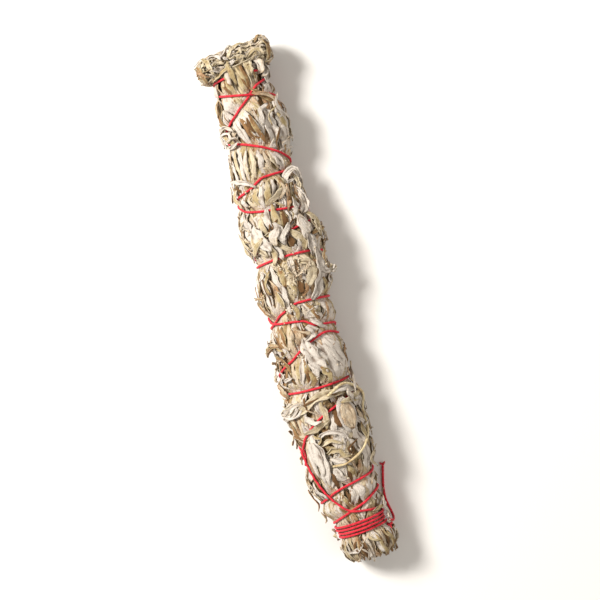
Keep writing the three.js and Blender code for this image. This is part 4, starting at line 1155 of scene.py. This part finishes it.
def skin_tube(name, points, radius, sides=8, lobes=0, pitch=2.6, rind=0):
    """A tube with rings set square to its line.

    lobes give it the twist of plied yarn, and a rind leaves pith showing in its cut ends.
    """
    points = np.asarray(points, float)
    heading = np.gradient(points, axis=0)
    heading /= np.linalg.norm(heading, axis=1)[:, None]
    bm = bmesh.new()
    normal = np.cross(heading[0], (0, 0, 1.0))
    if np.linalg.norm(normal) < 0.1:
        normal = np.cross(heading[0], (0, 1.0, 0))
    normal /= np.linalg.norm(normal)
    angles = np.arange(sides) * 2 * math.pi / sides
    travelled = np.concatenate([[0], np.cumsum(np.linalg.norm(np.diff(points, axis=0), axis=1))])
    radii = np.broadcast_to(np.asarray(radius, float), (len(points),))
    rings = []
    for p, d, s, r in zip(points, heading, travelled, radii):
        normal = normal - d * np.dot(normal, d)
        normal /= np.linalg.norm(normal)
        binormal = np.cross(d, normal)
        shape = np.full(sides, r)
        if lobes:
            shape = r * (0.80 + 0.20 * np.abs(np.cos(lobes / 2 * (angles - 2 * math.pi * s / pitch))))
        ring = p + (np.cos(angles) * shape)[:, None] * normal + (np.sin(angles) * shape)[:, None] * binormal
        rings.append(ring * MM)
    first = [bm.verts.new(c) for c in rings[0]]
    loop = [bm.edges.new((first[i], first[(i + 1) % sides])) for i in range(sides)]
    for ring in rings[1:]:
        out = bmesh.ops.extrude_edge_only(bm, edges=loop)["geom"]
        loop = [g for g in out if isinstance(g, bmesh.types.BMEdge)]
        fresh = [g for g in out if isinstance(g, bmesh.types.BMVert)]
        for vert, co in zip(fresh, ring):
            vert.co = co
    for face in bm.faces:
        face.smooth = True
    ends = bmesh.ops.holes_fill(bm, edges=[e for e in bm.edges if e.is_boundary])["faces"]
    bmesh.ops.recalc_face_normals(bm, faces=bm.faces)
    if rind:
        bmesh.ops.inset_individual(bm, faces=ends, thickness=rind * MM, depth=-0.15 * MM)
        for face in ends:
            face.material_index = 1
    mesh = bpy.data.meshes.new(name)
    bm.to_mesh(mesh)
    bm.free()
    piece = bpy.data.objects.new(name, mesh)
    bpy.context.scene.collection.objects.link(piece)
    return piece


def cotton_material():
    """Red cotton: dye that varies from place to place, a fine bump, and a little sheen for its fuzz."""
    material = plain("red_cotton", (0.55, 0.012, 0.03), 0.75)
    tree = material.node_tree
    shader = tree.nodes["Principled BSDF"]
    shader.inputs["Sheen Weight"].default_value = 0.12
    shader.inputs["Specular IOR Level"].default_value = 0.25
    place = tree.nodes.new("ShaderNodeTexCoord").outputs["Object"]
    dye = ranged(tree, noise(tree, place, 900, 3), 0.3, 0.7)
    wire(tree, mixed(tree, dye, (0.42, 0.008, 0.022), (0.72, 0.03, 0.05)), shader.inputs["Base Color"])
    bump = tree.nodes.new("ShaderNodeBump")
    bump.inputs["Strength"].default_value = 0.6
    bump.inputs["Distance"].default_value = 0.2 * MM
    wire(tree, noise(tree, place, 3800, 2), bump.inputs["Height"])
    wire(tree, bump.outputs[0], shader.inputs["Normal"])
    return material


def dry_stalk_group():
    """Streaks along a dry stem and darker bruises on it, shared by stalks, stems, pith and buds."""
    group, inside, out = new_group(
        "dry_stalk",
        [("Pale", "Color", (0.7, 0.6, 0.4, 1)), ("Streak", "Color", (0.5, 0.43, 0.29, 1)),
         ("Bruise", "Color", (0.3, 0.2, 0.1, 1))],
        [("Color", "Color"), ("Height", "Float")])
    place = group.nodes.new("ShaderNodeTexCoord").outputs["Object"]
    streak = ranged(group, noise(group, place, 900, 3, 0.6, (1, 0.12, 1)), 0.35, 0.7)
    bruise = ranged(group, noise(group, place, 160, 3), 0.5, 0.75)
    colour = mixed(group, streak, inside.outputs["Pale"], inside.outputs["Streak"])
    wire(group, mixed(group, bruise, colour, inside.outputs["Bruise"]), out.inputs["Color"])
    wire(group, streak, out.inputs["Height"])
    return group


dry_stalk = dry_stalk_group()


def stalk_material(name, pale, dark):
    material = plain(name, pale, 0.7)
    tree = material.node_tree
    shader = tree.nodes["Principled BSDF"]
    look = tree.nodes.new("ShaderNodeGroup")
    look.node_tree = dry_stalk
    for label, value in (("Pale", pale), ("Streak", tuple(0.72 * c for c in pale)), ("Bruise", dark)):
        look.inputs[label].default_value = (*value, 1)
    wire(tree, look.outputs["Color"], shader.inputs["Base Color"])
    bump = tree.nodes.new("ShaderNodeBump")
    bump.inputs["Strength"].default_value = 0.7
    bump.inputs["Distance"].default_value = 0.3 * MM
    wire(tree, look.outputs["Height"], bump.inputs["Height"])
    wire(tree, bump.outputs[0], shader.inputs["Normal"])
    return material


red = cotton_material()
thread_points = bundle.place(thread_y, thread_turned, thread_height)
thread_points[:, 2] = np.maximum(thread_points[:, 2], THREAD_RADIUS + 0.05)
thread_thick = THREAD_RADIUS * (0.9 + 0.07 * np.sin(np.arange(len(thread_y)) * 0.9) ** 2)
thread = skin_tube("bound_thread", thread_points, thread_thick, 8, 2)
thread.data.materials.append(red)
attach(thread, "root")
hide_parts("binding_thread")

tail_points = spline([(x + CENTRING, y, z) for x, y, z in TAIL_ROUTE], np.linspace(0, 1, 70))
tail = skin_tube("loose_thread_tail", tail_points, THREAD_RADIUS, 8, 2)
tail.data.materials.append(red)
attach(tail, "root")
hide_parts("thread_tail")


def several_tubes(name, routes, material, sides=5, steps=10):
    """Thin tubes joined as one piece, each (points in millimetres, radius at its start, at its end)."""
    bm = bmesh.new()
    for points, start, end in routes:
        line = spline(points, np.linspace(0, 1, steps))
        tube = skin_tube(name, line, np.linspace(start, end, steps), sides)
        bm.from_mesh(tube.data)
        bpy.data.meshes.remove(tube.data)
    mesh = bpy.data.meshes.new(name)
    bm.to_mesh(mesh)
    bm.free()
    mesh.materials.append(material)
    piece = bpy.data.objects.new(name, mesh)
    bpy.context.scene.collection.objects.link(piece)
    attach(piece, "root")
    return piece


tip = tail_points[-1]
frays = []
for _ in range(15):
    spread = rng.normal(0, 1, 2)
    strand = [tip + (0, -0.6, 0), tip + (0.25 * spread[0] + 0.2, 0.8, 0.1),
              tip + (0.95 * spread[0] + 0.4, 1.5 + 0.4 * spread[1], rng.uniform(-0.35, 0.7))]
    frays.append((strand, 0.27, 0.14))
fray = several_tubes("frayed_thread_end", frays, red, 5, 6)

# The knot: three small loops of the thread pulled tight round each other.
knot_centre = np.array(TAIL_ROUTE[0]) + (CENTRING - 0.3, -2.4, 1.6)
turn = np.linspace(0, 2 * math.pi, 60)
loops = np.column_stack([
    0.62 * np.sin(turn) + 0.9 * np.sin(2 * turn) * 0.6,
    1.25 * (np.cos(turn) - 0.9 * np.cos(2 * turn)) * 0.6,
    -0.75 * np.sin(3 * turn),
])
knot = skin_tube("tied_knot", knot_centre + loops, 0.55, 8, 2, 1.8)
knot.data.materials.append(red)
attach(knot, "root")
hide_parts("thread_knot")

# ---- stems --------------------------------------------------------------------------------------
pith = stalk_material("stem_pith", (0.74, 0.66, 0.50), (0.50, 0.38, 0.24))
straw = stalk_material("pale_straw", (0.72, 0.60, 0.36), (0.42, 0.28, 0.12))
wood = stalk_material("stem_wood", (0.50, 0.36, 0.19), (0.22, 0.13, 0.06))


def off_leaves(x, y, above):
    """A point that far above the topmost leaf at a place given from above."""
    degrees = degrees_at(x, y)
    a, b = np.array([float(y)]), np.array([degrees])
    height = bundle.sample(bundle.relief, a, b) + above
    return bundle.place(a, b, np.minimum(height, 5.0))[0]


bent = spline([off_leaves(x, y, 0.55) for x, y in BENT_STALK], np.linspace(0, 1, 90))
bent_radius = 0.52 + 0.10 * np.sin(np.linspace(0, 21, 90)) ** 2 + np.linspace(0.12, -0.06, 90)
stalk = skin_tube("bent_bare_stalk", bent, bent_radius, 9, 5, 60)
stalk.data.materials.append(straw)
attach(stalk, "root")
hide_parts("bent_stalk")

STEM_RADIUS, STEM_RING = 1.25, 3.2
STEM_ENDS = ((-116.5, 92), (-115, 78), (-117, 96), (-114.5, 64), (-116, 84), (-115.5, 70), (-116.8, 90))
for index, (low, high) in enumerate(STEM_ENDS):
    y = np.linspace(low, high, 60)
    centre = bundle_section(y)[0]
    turn = (index - 1) * math.pi / 3
    ring = STEM_RING if index else 0
    line = centre + ring * np.array((math.cos(turn), 0, math.sin(turn)))
    radius = STEM_RADIUS * (0.98 + 0.09 * np.sin(y * 0.35 + index) ** 2)
    stem = skin_tube(f"ridged_stem_{index + 1}", line, radius, 16, 7, 400, rind=0.3)
    stem.data.materials.append(wood)
    stem.data.materials.append(pith)
    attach(stem, "root")
    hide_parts(f"core_stem_{index + 1}")

side_stalks = []
for _ in range(34):
    y, turn = np.linspace(rng.uniform(-118, -114), -92, 5), rng.uniform(0, 2 * math.pi)
    centre, first, second, wide, high = inside(rng.uniform(0.5, 0.9))(y)
    line = centre + first * (wide * math.cos(turn))[:, None] + second * (high * math.sin(turn))[:, None]
    side_stalks.append((line + rng.normal(0, 0.2, (5, 3)) * (1, 0, 1), rng.uniform(0.35, 0.75), 0.3))
several_tubes("cut_side_stalks", side_stalks, wood, 7, 6)

# ---- dried buds ---------------------------------------------------------------------------------
bud_heads = bmesh.new()
for x, y, spread, count in BUD_CLUSTERS:
    for _ in range(count):
        at = off_leaves(x + rng.normal(0, spread), float(np.clip(y + rng.normal(0, spread), -116, 108)),
                        rng.uniform(-0.3, 0.3))
        made = bmesh.ops.create_icosphere(bud_heads, subdivisions=1, radius=rng.uniform(0.22, 0.55) * MM)
        bmesh.ops.scale(bud_heads, verts=made["verts"], vec=(1, rng.uniform(1, 1.7), rng.uniform(0.7, 1)))
        bmesh.ops.rotate(bud_heads, verts=made["verts"], cent=(0, 0, 0),
                         matrix=Matrix.Rotation(rng.uniform(0, 3.1), 3, "Z"))
        bmesh.ops.translate(bud_heads, verts=made["verts"], vec=tuple(at * MM))
for face in bud_heads.faces:
    face.smooth = True
mesh = bpy.data.meshes.new("dried_buds")
bud_heads.to_mesh(mesh)
bud_heads.free()
mesh.materials.append(stalk_material("bud_husk", (0.60, 0.51, 0.38), (0.33, 0.22, 0.11)))
buds = bpy.data.objects.new("dried_buds", mesh)
bpy.context.scene.collection.objects.link(buds)
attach(buds, "root")

scene = bpy.context.scene
scene.view_settings.view_transform = "Standard"

# ---- floor, light and camera --------------------------------------------------------------------
bpy.ops.mesh.primitive_plane_add(size=4)
floor = bpy.context.object
floor.name = "table_top"
floor.data.materials.append(plain("pale_table", (0.78, 0.77, 0.75), 0.6))


def soft_light(name, place, size, power, colour=(1, 1, 1)):
    data = bpy.data.lights.new(name, "AREA")
    data.size, data.energy, data.color = size, power, colour
    light = bpy.data.objects.new(name, data)
    light.location = place
    aim = Vector((0, 0, 0)) - Vector(place)
    light.rotation_euler = aim.to_track_quat("-Z", "Y").to_euler()
    bpy.context.scene.collection.objects.link(light)
    return light


soft_light("key", (-0.6, 0.5, 0.7), 0.3, 19.0, (1.0, 0.97, 0.93))
soft_light("fill", (0.7, -0.3, 0.7), 0.9, 3.5, (1.0, 0.95, 0.9))
world = bpy.data.worlds.new("studio")
bpy.context.scene.world = world
world.use_nodes = True
world.node_tree.nodes["Background"].inputs["Color"].default_value = (1.0, 0.93, 0.85, 1)
world.node_tree.nodes["Background"].inputs["Strength"].default_value = 0.4

VIEW_WIDTH = 267.6
CAMERA_ROLL = math.radians(-15.4)
lens = bpy.data.cameras.new("camera")
lens.lens, lens.sensor_width = 85, 36
camera = bpy.data.objects.new("camera", lens)
away = VIEW_WIDTH * lens.lens / lens.sensor_width + 12
camera.location = ((-0.7 + CENTRING) * MM, 1.6 * MM, away * MM)
camera.rotation_euler = (0, 0, CAMERA_ROLL)
bpy.context.scene.collection.objects.link(camera)
bpy.context.scene.camera = camera
